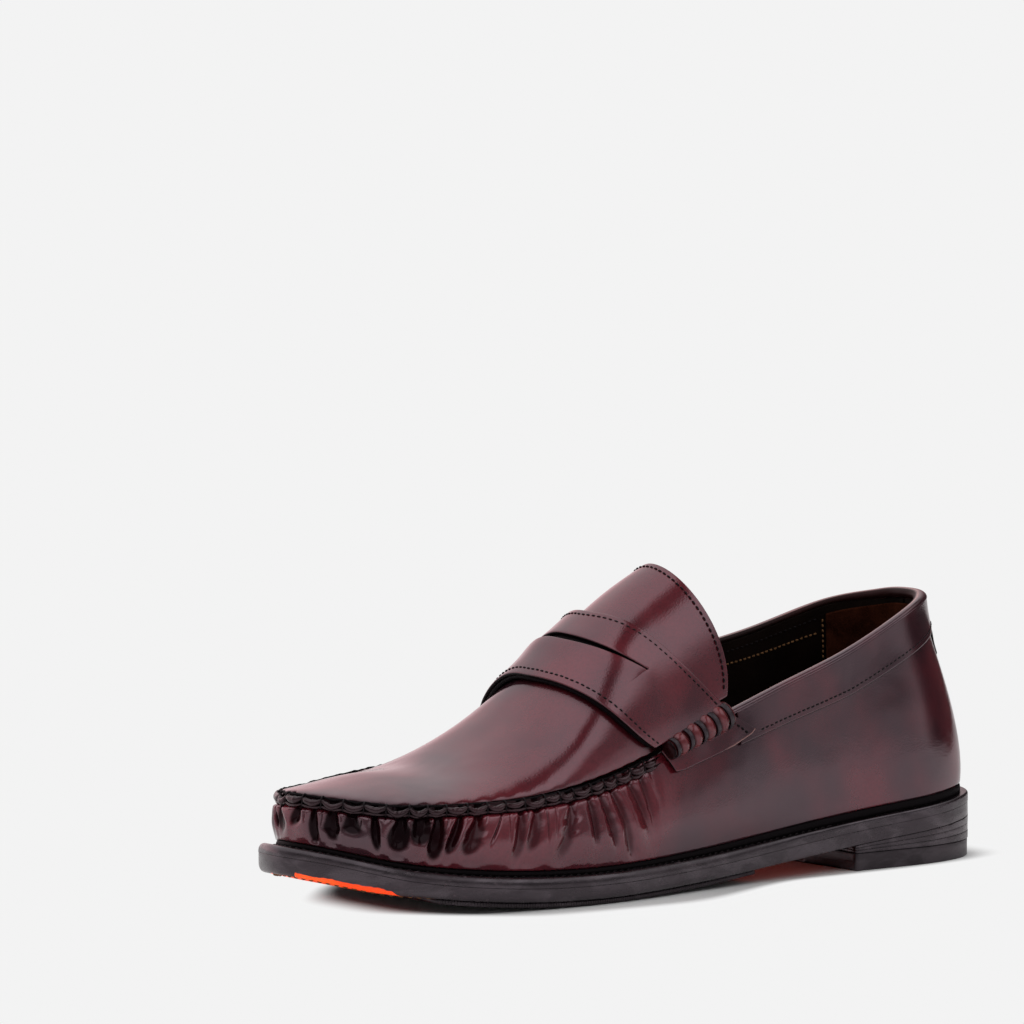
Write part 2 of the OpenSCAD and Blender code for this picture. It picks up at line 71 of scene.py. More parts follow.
SOLE_S = mirrored([0, 8, 32, 70, 110, 150, 190, 225, 258, 284, 299.5])
SOLE_Y = around([0, 23, 34, 35, 38, 44, 50, 49.5, 42, 26.5, -4.5],
                [0, 23, 33.5, 31.5, 30.5, 39, 50.5, 54.5, 49, 35.5, 4.5], -1)
EDGE_S = mirrored([17.5, 21, 39, 72, 109, 147, 187, 219, 250, 277, 292])
EDGE_Y = around([0, 12.5, 23.5, 28, 31, 33.5, 38.5, 40.5, 34.5, 21, -4.5],
                [0, 12.5, 23.5, 28, 30, 34.5, 41, 45, 41.5, 30.5, 4.5], -1)
EDGE_RISE = around([73.8, 73.1, 70.2, 60, 51.9, 42.6, 32.9, 28, 24.4, 21.2, 19.4],
                   [73.8, 73.1, 71.2, 64.5, 59.4, 48.1, 36.6, 32, 26.1, 20.8, 19.4])
INSET = mirrored([3, 3, 3, 3.4, 4, 4.6, 5, 5.4, 5.6, 6, 6.6])
RAND = mirrored([2.9, 2.9, 2.9, 2.8, 2.4, 1.9, 1.6, 1.6, 1.6, 1.6, 1.6])
LOW_BULGE = mirrored([2.4, 2.5, 2.8, 3, 3, 3.5, 4, 4, 3.5, 2.4, 1.2])
HIGH_BULGE = mirrored([1.6, 1.8, 2.2, 2, 2, 4, 5, 5, 4, 2.8, 1.6])
CREST = np.array([[292, 4.5, 19.4], [264, 4.2, 29.9], [237, 3.4, 35], [208, 3, 51.6], [178, -1, 76.8],
                  [152, 1, 91.8], [124, 1, 105]], float)
CROWN_OUTER = np.array([1, 0.96, 0.9, 0.84, 0.6, 0.57, 0.55], float)
CROWN_INNER = np.array([1, 1.3, 1.65, 1.85, 1.35, 0.7, 0.7], float)
ROCKER = np.array([15.5, 12.97, 10.44, 7.8, 5.1, 3.1, 2.1, 2.1, 3.6, 7.2, 14.3], float)
ROCKER_STEP = 30.0


def smooth(x, a=0.0, b=1.0):
    t = np.clip((x - a) / (b - a), 0, 1)
    return t * t * (3 - 2 * t)


def unit(v):
    return v / np.maximum(np.linalg.norm(v, axis=-1, keepdims=True), 1e-9)


def curve_between(a, b, c, d, t):
    """Smooth curve from b to c, with a before and d after them."""
    bent, twisted = 2 * a - 5 * b + 4 * c - d, 3 * b - a - 3 * c + d
    return 0.5 * (2 * b + (c - a) * t + bent * t * t + twisted * t ** 3)


def ring_at(table, u):
    """Smooth curve through a closed table."""
    i = np.floor(u).astype(int)
    return curve_between(*(table[(i + k) % len(table)] for k in (-1, 0, 1, 2)), u - i)


def line_at(table, u):
    """Smooth curve through an open table."""
    top = len(table) - 1
    i = np.clip(np.floor(u).astype(int), 0, top - 1)
    t = u - i
    if table.ndim > 1:
        t = t[..., None]
    return curve_between(*(table[np.clip(i + k, 0, top)] for k in (-1, 0, 1, 2)), t)


def underside(s):
    return line_at(ROCKER, np.clip(s, 0, 300) / ROCKER_STEP)


def place(s, y, z):
    return np.stack(np.broadcast_arrays(HEEL_CENTRE - s, y, z), -1)


def flat_normal(u):
    """Horizontal normal of the sole's edge, pointing out of the shoe."""
    e = 0.01
    ds = ring_at(SOLE_S, u + e) - ring_at(SOLE_S, u - e)
    dy = ring_at(SOLE_Y, u + e) - ring_at(SOLE_Y, u - e)
    size = np.hypot(ds, dy)
    return np.stack([-dy / size, -ds / size, 0 * ds], -1)


def sole_point(u, inset, lift):
    u = np.asarray(u, float)
    n = flat_normal(u)
    s = ring_at(SOLE_S, u) + n[..., 0] * inset
    return place(s, ring_at(SOLE_Y, u) - n[..., 1] * inset, underside(s) + lift)


def top_edge(u):
    s = ring_at(EDGE_S, u)
    return place(s, ring_at(EDGE_Y, u), underside(s) + SOLE_T + ring_at(EDGE_RISE, u))


def wall(u, v):
    """Wall of the upper, v from 0 above the welt to 1 at the top edge."""
    u, v = np.broadcast_arrays(np.asarray(u, float), np.asarray(v, float))
    a = sole_point(u, ring_at(INSET, u), SOLE_T + ring_at(RAND, u) + 0.1)
    d = top_edge(u)
    n = flat_normal(u)
    rise = (d - a)[..., 2]
    b = a + n * ring_at(LOW_BULGE, u)[..., None] + UP * (rise * 0.38)[..., None]
    c = d + n * ring_at(HIGH_BULGE, u)[..., None] - UP * (rise * 0.33)[..., None]
    v = v[..., None]
    w = 1 - v
    return w ** 3 * a + 3 * w * w * v * b + 3 * w * v * v * c + v ** 3 * d


def instep(t, q):
    """Top of the foot, t from 0 at the toe towards the ankle, q from -1 on the outer side to 1."""
    t, q = np.broadcast_arrays(np.asarray(t, float), np.asarray(q, float))
    outer, inner = top_edge(TOE - t), top_edge(TOE + t)
    crest = line_at(CREST, t)
    top = place(crest[..., 0], crest[..., 1], underside(crest[..., 0]) + SOLE_T + crest[..., 2])
    middle = (outer + inner) / 2
    crown = np.where(q < 0, line_at(CROWN_OUTER, t), line_at(CROWN_INNER, t))
    angle = q * math.pi / 2
    arch = np.maximum(np.cos(angle), 0) ** (2 * crown)
    return middle + (inner - outer) / 2 * np.sin(angle)[..., None] + (top - middle) * arch[..., None]


def normals(surface, a, b):
    e = 0.004
    a, b = np.asarray(a, float), np.asarray(b, float)
    return unit(np.cross(surface(a + e, b) - surface(a - e, b), surface(a, b + e) - surface(a, b - e)))


def wall_normal(u, v):
    return -normals(wall, u, v)


def instep_normal(t, q):
    return normals(instep, t, q)


def strap_front(q):
    return 3.43 + 0.235 * np.sqrt(q * q + 0.01) + 0.915 * q * q


def strap_rear(q):
    return 4.21 + 1.24 * np.sqrt(q * q + 0.02)


def slot_front(q):
    return 3.85 + 2.14 * q * q


def slot_rear(q):
    return 3.98 + 1.755 * q * q


def tongue_end(q):
    return 5.51 + 0.5 * q * q - 0.65 * q ** 4


def toe_drop(u):
    """Extra thickness of the outsole towards the toe."""
    return 1.3 * smooth(ring_at(SOLE_S, u), 262, 288)


def noise1(seed, size):
    """Smooth random function of one variable, with features about size long, from -1 to 1."""
    table = np.random.default_rng(seed).uniform(-1, 1, 256)

    def value(x):
        x = np.asarray(x, float) / size
        i = np.floor(x).astype(int)
        t = smooth(x - i)
        return table[i % 256] * (1 - t) + table[(i + 1) % 256] * t
    return value


def noise2(seed, size_a, size_b):
    """Smooth random function of two variables, from -1 to 1."""
    table = np.random.default_rng(seed).uniform(-1, 1, (128, 128))

    def value(a, b):
        a = np.asarray(a, float) / size_a
        b = np.asarray(b, float) / size_b
        i, j = np.floor(a).astype(int), np.floor(b).astype(int)
        s, t = smooth(a - i), smooth(b - j)
        i, ahead = i % 128, (i + 1) % 128
        low, high = (table[i, k % 128] * (1 - s) + table[ahead, k % 128] * s for k in (j, j + 1))
        return low * (1 - t) + high * t
    return value


# ---------------------------------------------------------------- mesh helpers


def mesh_object(name, verts, faces, material, fields=None):
    """Mesh object from points in millimetres; fields are per-point values that the material reads."""
    mesh = bpy.data.meshes.new(name)
    mesh.from_pydata((np.asarray(verts) * MM).tolist(), [], [list(map(int, f)) for f in faces])
    mesh.validate()
    for key, values in (fields or {}).items():
        layer = mesh.attributes.new(key, "FLOAT", "POINT")
        layer.data.foreach_set("value", np.asarray(values, np.float32).ravel())
    mesh.polygons.foreach_set("use_smooth", [True] * len(mesh.polygons))
    mesh.update()
    mesh.materials.append(material)
    obj = bpy.data.objects.new(name, mesh)
    bpy.context.scene.collection.objects.link(obj)
    return obj


def piece(name, verts, faces, material, fields=None):
    """Mesh object that is part of the shoe: it rides on its body and hides the CAD nodes it stands for."""
    v = np.asarray(verts)
    volume = 0.0
    for size in {len(f) for f in faces}:
        f = np.array([face for face in faces if len(face) == size])
        for k in range(1, size - 1):
            volume += np.sum(v[f[:, 0]] * np.cross(v[f[:, k]], v[f[:, k + 1]]))
    if volume < 0:
        faces = [f[::-1] for f in faces]
    obj = mesh_object(name, verts, faces, material, fields)
    if name.startswith("tongue"):
        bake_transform(obj)
    else:
        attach(obj, "root")
    nodes = STANDS_FOR.get(name, [name] if name in NODES else [])
    if nodes:
        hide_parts(*nodes)
    return obj


def cells(n, m, close_n, close_m):
    """Corners of the four-sided faces of a grid of n by m points, which may be closed either way."""
    i = np.arange(n if close_n else n - 1)[:, None]
    j = np.arange(m if close_m else m - 1)[None]
    ahead, aside = (i + 1) % n * m, (j + 1) % m
    return np.stack([i * m + j, i * m + aside, ahead + aside, ahead + j], -1)


def loft_faces(n, m, closed):
    """Faces of a skin through n sections of m points each; unless closed, strips fill its two ends."""
    faces = cells(n, m, closed, True).reshape(-1, 4).tolist()
    last = (n - 1) * m
    for k in range(0 if closed else (m - 1) // 2):
        for strip in ((k + 1, k, m - 1 - k, m - 2 - k),
                      (last + k, last + k + 1, last + m - 2 - k, last + m - 1 - k)):
            faces.append(list(dict.fromkeys(strip)))
    return faces


def loft(name, sections, material, fields=None):
    """Solid skinned through sections, an array (n, m, 3)."""
    n, m = sections.shape[:2]
    flat = {key: np.broadcast_to(value, (n, m)).reshape(-1) for key, value in (fields or {}).items()}
    return piece(name, sections.reshape(-1, 3), loft_faces(n, m, False), material, flat)


def lofts(name, solids, material, closed=False):
    """One object made of several solids, each skinned through an array of sections."""
    verts, faces = [], []
    for sections in solids:
        n, m = sections.shape[:2]
        faces += [[i + len(verts) for i in face] for face in loft_faces(n, m, closed)]
        verts += sections.reshape(-1, 3).tolist()
    return piece(name, verts, faces, material)


def circle(n):
    return np.linspace(0, 2 * math.pi, n, endpoint=False)


def oval(angle, wide, tall):
    """Radius of an oval at an angle."""
    return 1 / np.sqrt((np.cos(angle) / wide) ** 2 + (np.sin(angle) / tall) ** 2)


def tube(name, centre, across, up, radius, material, fields=None):
    """Tube round a line of centres, with a radius per ring and per side."""
    angle = circle(radius.shape[1])
    ring = across[:, None] * np.cos(angle)[None, :, None] + up[:, None] * np.sin(angle)[None, :, None]
    return loft(name, centre[:, None] + ring * radius[..., None], material, fields)


def crowd(a, b, n, edge):
    """Values from a to b with extra ones close to both ends, where leather edges are rounded."""
    ease = np.array([0, 0.04, 0.13, 0.28, 0.5, 0.75]) * edge
    return np.concatenate([a + ease, np.linspace(a + edge, b - edge, n), (b - ease)[::-1]])


def rows_between(low, high, share):
    """Grid whose rows run from low to high, one value of low and high per row."""
    return low[:, None] + (high - low)[:, None] * share[None]


def grid_between(row, low, high, share):
    """Two grids: the value of each row, and the values that run along it from low to high."""
    along = rows_between(low + 0 * row, high + 0 * row, share)
    return row[:, None] + 0 * along, along


def run_along(points, axis=0):
    """Distance along a polyline, or along the rows of a grid of points."""
    return np.insert(np.cumsum(np.linalg.norm(np.diff(points, axis=axis), axis=-1), axis), 0, 0, axis)


def round_off(x):
    """Quarter circle rising from 0 at x = 0 to 1 at x = 1 and beyond."""
    return np.sqrt(np.maximum(1 - (1 - np.clip(x, 0, 1)) ** 2, 0))


THIN = 0.04


def rounding(points, radius, wrap=False):
    """Share of the full thickness at each grid point, falling off in a round edge."""
    k = np.ones(points.shape[:2])
    for axis in (1,) if wrap else (0, 1):
        run = run_along(points, axis)
        k = k * round_off(np.minimum(run, np.take(run, [-1], axis) - run) / radius)
    return np.maximum(k, THIN)


def sheet(name, points, normal, over, under, k, material, wrap=False, holes=None, fields=None):
    """Closed sheet of leather on a grid of points: an outer and an inner skin joined all round.

    over and under are lifts off the surface, k the share of the thickness, holes marks missing cells."""
    n, m = points.shape[:2]
    over, under = np.broadcast_to(over, (n, m)), np.broadcast_to(under, (n, m))
    middle = (over + under) / 2
    skins = [points + normal * (middle + (lift - middle) * k)[..., None] for lift in (over, under)]
    verts = np.concatenate(skins).reshape(-1, 3)
    grid = cells(n, m, wrap, False)
    if holes is not None:
        grid = grid[~holes[:len(grid)]]
    grid = grid.reshape(-1, 4)
    edges = np.stack([grid, np.roll(grid, -1, 1)], -1).reshape(-1, 2)
    key = edges.min(1) * n * m + edges.max(1)
    _, first, count = np.unique(key, return_index=True, return_counts=True)
    rim = edges[first[count == 1]]
    off = n * m
    sides = np.stack([rim[:, 1], rim[:, 0], rim[:, 0] + off, rim[:, 1] + off], -1)
    faces = np.concatenate([grid, grid[:, ::-1] + off, sides])
    flat = {"edge": np.concatenate([1 - smooth(k, 0.5, 0.93)] * 2).ravel(),
            "flesh": np.concatenate([np.zeros(off), np.ones(off)])}
    for key, value in (fields or {}).items():
        flat[key] = np.concatenate([np.broadcast_to(value, (n, m))] * 2).ravel()
    used = np.zeros(2 * off, bool)
    used[faces.ravel()] = True
    new_number = np.cumsum(used) - 1
    flat = {key: value[used] for key, value in flat.items()}
    return piece(name, verts[used], new_number[faces].tolist(), material, flat)


def wall_sheet(name, u, v, over, under, radius, material, wrap=False, fields=None):
    """Sheet on the wall of the upper from grids of stations and heights."""
    p = wall(u, v)
    k = rounding(p, radius, wrap)
    return sheet(name, p, wall_normal(u, v), over, under, k, material, wrap, fields=fields)


def instep_sheet(name, t, q, over, under, radius, material, fields=None):
    """Sheet over the instep from grids of t and q."""
    p = instep(t, q)
    return sheet(name, p, instep_normal(t, q), over, under, rounding(p, radius), material, fields=fields)


def stitch(a, b, n, length, radius, sink, r):
    """Sections of an arched piece of thread between the points a and b of a surface with normal n."""
    along = unit(b - a)
    n = unit(n)
    side = unit(np.cross(n, along))
    turn = r.normal(0, 0.05)
    cos, sin = math.cos(turn), math.sin(turn)
    along, side = along * cos + side * sin, side * cos - along * sin
    centre = (a + b) / 2 + side * r.normal(0, 0.04)
    size = length * r.uniform(0.94, 1.05)
    x = np.linspace(-1, 1, 7)[:, None, None]
    angle = circle(7)[None, :, None]
    thick = radius * np.sqrt(np.maximum(0, 1 - abs(x) ** 3.2)) + 0.02
    lift = radius * 0.55 - sink * abs(x) ** 2.5 + np.sin(angle) * thick * 0.85
    return centre + along * x * size / 2 + side * np.cos(angle) * thick + n * lift


def stitches(name, lines, pitch, length, radius, material, sink=0.5, seed=1):
    """One object holding rows of stitches at an even pitch; each line is (points, normals)."""
    solids = []
    for k, (points, up) in enumerate(lines):
        r = np.random.default_rng(seed + k)
        run = run_along(points)
        at = np.linspace(0, run[-1], max(2, int(round(run[-1] / pitch)) + 1))
        p, n = (np.stack([np.interp(at, run, a[:, axis]) for axis in range(3)], 1) for a in (points, up))
        solids += [stitch(p[i], p[i + 1], n[i], length, radius, sink, r) for i in range(len(p) - 1)]
    return lofts(name, solids, material)


# ---------------------------------------------------------------- materials

class Nodes:
    """Short ways to build a tree of shader nodes."""

    def __init__(self, tree, coordinates):
        self.tree = tree
        self.place = self.add("ShaderNodeTexCoord").outputs[coordinates]

    def add(self, kind, **settings):
        node = self.tree.nodes.new(kind)
        for key, value in settings.items():
            setattr(node, key, value)
        return node

    def link(self, value, socket):
        if isinstance(value, bpy.types.NodeSocket):
            self.tree.links.new(value, socket)
        elif isinstance(value, (tuple, list)) and len(value) == 3 and socket.type == "RGBA":
            socket.default_value = (*value, 1)
        else:
            socket.default_value = value

    def made(self, kind, values, output=0, **settings):
        """Output of a new node whose inputs, by name or number, get the values."""
        node = self.add(kind, **settings)
        for key, value in values.items():
            self.link(value, node.inputs[key])
        return node.outputs[output]

    def math(self, operation, a, b=0.0):
        return self.made("ShaderNodeMath", {0: a, 1: b}, operation=operation)

    def add_up(self, a, b):
        return self.math("ADD", a, b)

    def times(self, a, b):
        return self.math("MULTIPLY", a, b)

    def larger(self, a, b):
        return self.math("MAXIMUM", a, b)

    def span(self, value, low, high, to_low=0.0, to_high=1.0):
        """Eased step of a value between low and high."""
        return self.made("ShaderNodeMapRange", dict(enumerate((value, low, high, to_low, to_high))),
                         interpolation_type="SMOOTHSTEP")

    def mix(self, share, a, b):
        return self.made("ShaderNodeMix", {"Factor": share, 6: a, 7: b}, 2, data_type="RGBA")

    def axes(self, vector):
        return self.made("ShaderNodeSeparateXYZ", {0: vector}, "X").node.outputs

    def camera_ray(self):
        return self.add("ShaderNodeLightPath").outputs["Is Camera Ray"]


class Finish(Nodes):
    """Builds one procedural material."""

    def __init__(self, name):
        self.material = bpy.data.materials.new(name)
        self.material.use_nodes = True
        super().__init__(self.material.node_tree, "Object")
        self.shader = self.tree.nodes["Principled BSDF"]

    def noise(self, scale, detail=3.0, distortion=0.0, place=None):
        values = {"Vector": place or self.place, "Scale": scale, "Detail": detail, "Distortion": distortion}
        return self.made("ShaderNodeTexNoise", values, "Fac")

    def cells(self, scale):
        return self.made("ShaderNodeTexVoronoi", {"Vector": self.place, "Scale": scale}, "Distance")

    def stretched(self, x, y, z):
        return self.made("ShaderNodeVectorMath", {0: self.place, 1: (x, y, z)}, operation="MULTIPLY")

    def field(self, name):
        return self.add("ShaderNodeAttribute", attribute_name=name).outputs["Fac"]

    def bump(self, height, distance, normal=None):
        values = {"Height": height, "Distance": distance}
        if normal:
            values["Normal"] = normal
        return self.made("ShaderNodeBump", values, "Normal")

    def set(self, **values):
        names = {"color": "Base Color", "coat": "Coat Weight", "coat_rough": "Coat Roughness",
                 "specular": "Specular IOR Level", "tint": "Specular Tint", "ior": "IOR",
                 "glow": "Emission Color", "glow_strength": "Emission Strength"}
        for key, value in values.items():
            self.link(value, self.shader.inputs[names.get(key, key.title())])
        return self.material


MAUVE = (1.0, 0.73, 0.83)
EDGE_TINT = (1.0, 0.84, 0.95)
LEATHER_IOR = 1.6


def glossy_leather(name, dark, light, rough=0.12, shine=1.0, pale_edge_and_highlight_share=0.0):
    """Brushed-off leather: red clouds rubbed through a dark finish, fine pores, black painted edges, painted
    shade in creases, pale cut edges and a painted highlight.
    """
    f = Finish(name)
    cloud = f.add_up(f.times(f.noise(15, 1.5, 0.9), 0.74), f.times(f.noise(60, 2), 0.26))
    color = f.mix(f.span(cloud, 0.34, 0.64), dark, light)
    color = f.mix(f.span(f.noise(900, 2), 0.35, 0.75, 0, 0.25), color, tuple(c * 0.5 for c in dark))
    # crease_shade is painted shade: it darkens the colour and dulls the shine in creases, pockets and gaps
    crease_shade = f.field("crease_shade")
    color = f.mix(f.times(crease_shade, 0.92), color, (0.003, 0.0015, 0.002))
    # Pale colour: real pale cut edges on the strap's tab, and a painted highlight along the top of the collar
    # binding
    if pale_edge_and_highlight_share:
        color = f.mix(f.times(f.field("pale_edge_and_highlight"), pale_edge_and_highlight_share), color, (0.36, 0.17, 0.14))
    flesh, edge = f.field("flesh"), f.field("edge")
    color = f.mix(flesh, color, f.mix(f.noise(400), (0.010, 0.006, 0.005), (0.022, 0.012, 0.010)))
    color = f.mix(edge, color, (0.005, 0.004, 0.004))
    bare = f.larger(edge, flesh)
    roughness = f.add_up(f.span(f.noise(55, 3), 0.3, 0.7, rough - 0.03, rough + 0.05), f.times(bare, 0.3))
    dull = f.larger(bare, f.times(crease_shade, 0.9))
    normal = f.bump(f.noise(34, 2, 0.3), 0.0007)
    normal = f.bump(f.noise(5200, 2), 0.000005, f.bump(f.cells(1500), 0.000018, normal))
    return f.set(color=color, roughness=roughness, specular=f.span(dull, 0.0, 1.0, shine, 0.07), tint=MAUVE,
                 ior=LEATHER_IOR, coat=f.span(dull, 0.0, 1.0, 0.08, 0.0), coat_rough=0.05, normal=normal)


def black_edge(f):
    """Colour, roughness, relief and shine of burnished black edges with scuffs and a little brown in them."""
    streaks = f.noise(70, 5, 0.4, f.stretched(1, 1, 3.5))
    scuffs = f.times(f.span(f.noise(420, 5, 0.5, f.stretched(1, 1, 2.2)), 0.56, 0.74),
                     f.span(f.noise(38, 3, 0.2, f.stretched(1, 1, 2)), 0.42, 0.62))
    color = f.mix(f.span(streaks, 0.42, 0.75), (0.0055, 0.0035, 0.0045), (0.018, 0.012, 0.015))
    color = f.mix(f.times(scuffs, 0.75), color, (0.075, 0.052, 0.060))
    rough = f.add_up(f.span(streaks, 0.3, 0.75, 0.20, 0.34), f.times(scuffs, 0.3))
    normal = f.bump(f.noise(160, 4, 0.2, f.stretched(1, 1, 3)), 0.00012, f.bump(f.noise(1700, 3), 0.00003))
    shine = f.span(f.noise(75, 5, 0.6, f.stretched(1, 1, 2.5)), 0.40, 0.64, 0.62, 0.98)
    return color, rough, normal, shine


def edge_leather():
    f = Finish("black_edge_leather")
    color, rough, normal, shine = black_edge(f)
    return f.set(color=color, roughness=rough, normal=normal, specular=shine, ior=LEATHER_IOR, tint=EDGE_TINT)


def sole_leather():
    """Outsole: black burnished edges and rim, and an orange painted underside with a ragged border.

    Its paint has a painted glow, strong for the camera and faint onto the floor, and reaches furthest out
    along the outer side of the toe."""
    f = Finish("sole_leather")
    color, rough, normal, shine = black_edge(f)
    x, y, _ = f.axes(f.place)
    bare = f.times(f.span(y, -0.0345, -0.0320), f.span(y, -0.0050, -0.0015, 1, 0))
    bare = f.times(bare, f.span(x, -0.238, -0.234, 1, 0))
    inside = f.add_up(f.field("inset"), f.times(f.noise(300, 5), 0.4))
    under = f.span(f.add_up(inside, f.span(bare, 0, 1, -2.6, 1.3)), 1.78, 1.90)
    facing = f.axes(f.add("ShaderNodeNewGeometry").outputs["Normal"])["Z"]
    under = f.times(under, f.span(facing, -0.15, 0.0, 1, 0))
    seen = f.camera_ray()
    paint = f.mix(f.span(f.noise(70, 4), 0.35, 0.7), (0.90, 0.055, 0.006), (1.0, 0.11, 0.012))
    paint = f.mix(f.span(f.noise(900, 3), 0.58, 0.8, 0, 0.3), paint, (0.45, 0.02, 0.004))
    # Painted glow: other rays see the paint duller, and it emits light, strongly for the camera and faintly
    # onto the floor
    paint = f.mix(seen, (0.62, 0.050, 0.014), paint)
    return f.set(color=f.mix(under, color, paint), roughness=rough, normal=normal, ior=LEATHER_IOR,
                 specular=f.span(under, 0, 1, shine, 0.3), tint=EDGE_TINT, glow=paint,
                 glow_strength=f.times(under, f.span(seen, 0, 1, 0.03, 0.75)))


def rubber():
    """Matt black rubber with a fine grain, scuffed like the edges above it."""
    f = Finish("rubber_black")
    color, rough, normal, shine = black_edge(f)
    grains = f.noise(1400, 3)
    color = f.mix(f.times(grains, 0.5), color, (0.012, 0.010, 0.011))
    return f.set(color=color, roughness=f.add_up(rough, 0.08), specular=f.times(shine, 0.8), ior=LEATHER_IOR,
                 tint=EDGE_TINT, normal=f.bump(grains, 0.00005, normal))


def lining_leather():
    f = Finish("lining_leather")
    color = f.mix(f.span(f.noise(55, 4), 0.35, 0.7), (0.0016, 0.0006, 0.0004), (0.0055, 0.0020, 0.0014))
    grain = f.bump(f.cells(1150), 0.00005, f.bump(f.noise(70, 3), 0.0004))
    return f.set(color=color, roughness=f.span(f.noise(90), 0.3, 0.7, 0.48, 0.62), specular=0.16,
                 tint=(1.0, 0.75, 0.65), normal=grain)


def suede():
    f = Finish("suede_grip")
    nap = f.noise(1900, 4, 0.6)
    color = f.mix(f.span(f.noise(75, 4, 1.0), 0.35, 0.7), (0.020, 0.0045, 0.0018), (0.065, 0.0170, 0.0085))
    color = f.mix(f.span(nap, 0.4, 0.75, 0, 0.5), color, (0.070, 0.020, 0.010))
    return f.set(color=color, roughness=0.95, specular=0.03, normal=f.bump(nap, 0.0002))


def fibres(name, color, rough, specular):
    """Dyed fibres, for waxed thread, for the raw black edges of cut leather, and for the matte black that is
    painted shade in dark gaps.
    """
    f = Finish(name)
    strands = f.noise(2600, 3, 0.5)
    color = f.mix(strands, tuple(c * 0.6 for c in color), tuple(min(1, c * 1.5) for c in color))
    return f.set(color=color, roughness=rough, specular=specular, tint=EDGE_TINT,
                 normal=f.bump(strands, 0.00012))


def steel():
    f = Finish("nail_steel")
    brushed = f.noise(900, 4, 0, f.stretched(1, 6, 1))
    color = f.mix(brushed, (0.32, 0.31, 0.30), (0.58, 0.57, 0.55))
    return f.set(color=color, metallic=1.0, roughness=f.span(brushed, 0.3, 0.7, 0.3, 0.5),
                 normal=f.bump(brushed, 0.00002))


def board():
    f = Finish("board_fibre")
    strands = f.noise(260, 6, 1.2, f.stretched(1, 4, 4))
    color = f.mix(strands, (0.32, 0.20, 0.11), (0.52, 0.36, 0.22))
    return f.set(color=color, roughness=0.85, normal=f.bump(strands, 0.0002))


def cork():
    f = Finish("cork")
    crumbs = f.cells(420)
    color = f.mix(f.span(crumbs, 0.2, 0.8), (0.45, 0.25, 0.12), (0.20, 0.10, 0.05))
    return f.set(color=color, roughness=0.9, normal=f.bump(crumbs, 0.0004))


LEATHER = glossy_leather("oxblood_leather", (0.020, 0.0045, 0.0085), (0.150, 0.0125, 0.0200), pale_edge_and_highlight_share=0.85)
ROLL = glossy_leather("roll_leather", (0.120, 0.018, 0.022), (0.300, 0.050, 0.052), rough=0.15, shine=0.65)
SEAM = glossy_leather("seam_leather", (0.012, 0.0050, 0.0060), (0.034, 0.010, 0.012), rough=0.2, shine=0.42)
EDGE = edge_leather()
# Matte black: partly real black edges and plies, partly painted shade laid into the dark gaps above the welt,
# along the apron's edge and in the strap's slot
BLACK_AND_SHADE = fibres("matte_black_and_painted_shade", (0.004, 0.003, 0.0035), 0.6, 0.1)
SOLE = sole_leather()
RUBBER = rubber()
LINING = lining_leather()
SUEDE = suede()
BLACK_THREAD = fibres("thread_black", (0.006, 0.0045, 0.005), 0.5, 0.2)
WAX_THREAD = fibres("wrap_thread", (0.022, 0.015, 0.018), 0.3, 0.6)
TAN_THREAD = fibres("thread_tan", (0.23, 0.115, 0.05), 0.6, 0.15)
STEEL, BOARD, CORK = steel(), board(), cork()

# CAD nodes of the pieces named otherwise.
STANDS_FOR = {"upper_wall": ["vamp_wall"], "seam_threads": ["apron_stitching"],
              "tongue": ["tongue_root", "tongue_flap"]}
for sewn in ("strap", "tongue", "collar", "lining", "welt"):
    STANDS_FOR[f"{sewn}_stitches"] = [f"{sewn}_stitching"]


# ---------------------------------------------------------------- wall of the upper

GRID_U = np.linspace(-10, 30, 4001)
TOP_RUN = run_along(top_edge(GRID_U))
TOP_RUN -= np.interp(TOE, GRID_U, TOP_RUN)
HEIGHT_U = np.linspace(0, LAP, 401)
HEIGHTS = np.array([run_along(wall(u, np.linspace(0, 1, 41)))[-1] for u in HEIGHT_U])


def top_run(u):
    """Distance along the top edge, from the toe tip towards the inner side."""
    return np.interp(u, GRID_U, TOP_RUN)


def height(u):
    """Height of the wall, measured along it."""
    return np.interp(np.mod(u, LAP), HEIGHT_U, HEIGHTS)


def below(u, d):
    """Height share v of the point a distance d below the top edge."""
    return 1 - np.asarray(d, float) / height(u)


def inward(u):
    """Station counted from the back of the heel on either side."""
    return np.minimum(u, LAP - u)


def on_side(u, side):
    """Station u of the outer side, or the same place on the inner side for side = 1."""
    return u if side < 0 else LAP - u


SEAM_END = 5.44
SEAM_FADE = 0.12
GATHER = 7.1


def crease_places():
    """Distances along the top edge where the gathers of the seam are stitched down."""
    r = np.random.default_rng(11)
    at, places = top_run(SEAM_END) + 1.5, []
    while at < top_run(LAP - SEAM_END) - 1:
        places.append(at)
        at += GATHER * r.uniform(0.84, 1.16)
    return np.array(places)


CREASES = crease_places()


def gather_number(x):
    return np.clip(np.searchsorted(CREASES, x) - 1, 0, len(CREASES) - 2)


def scallop(x):
    """Phase from 0 to 1 inside each gather."""
    i = gather_number(x)
    return np.clip((x - CREASES[i]) / (CREASES[i + 1] - CREASES[i]), 0, 1)


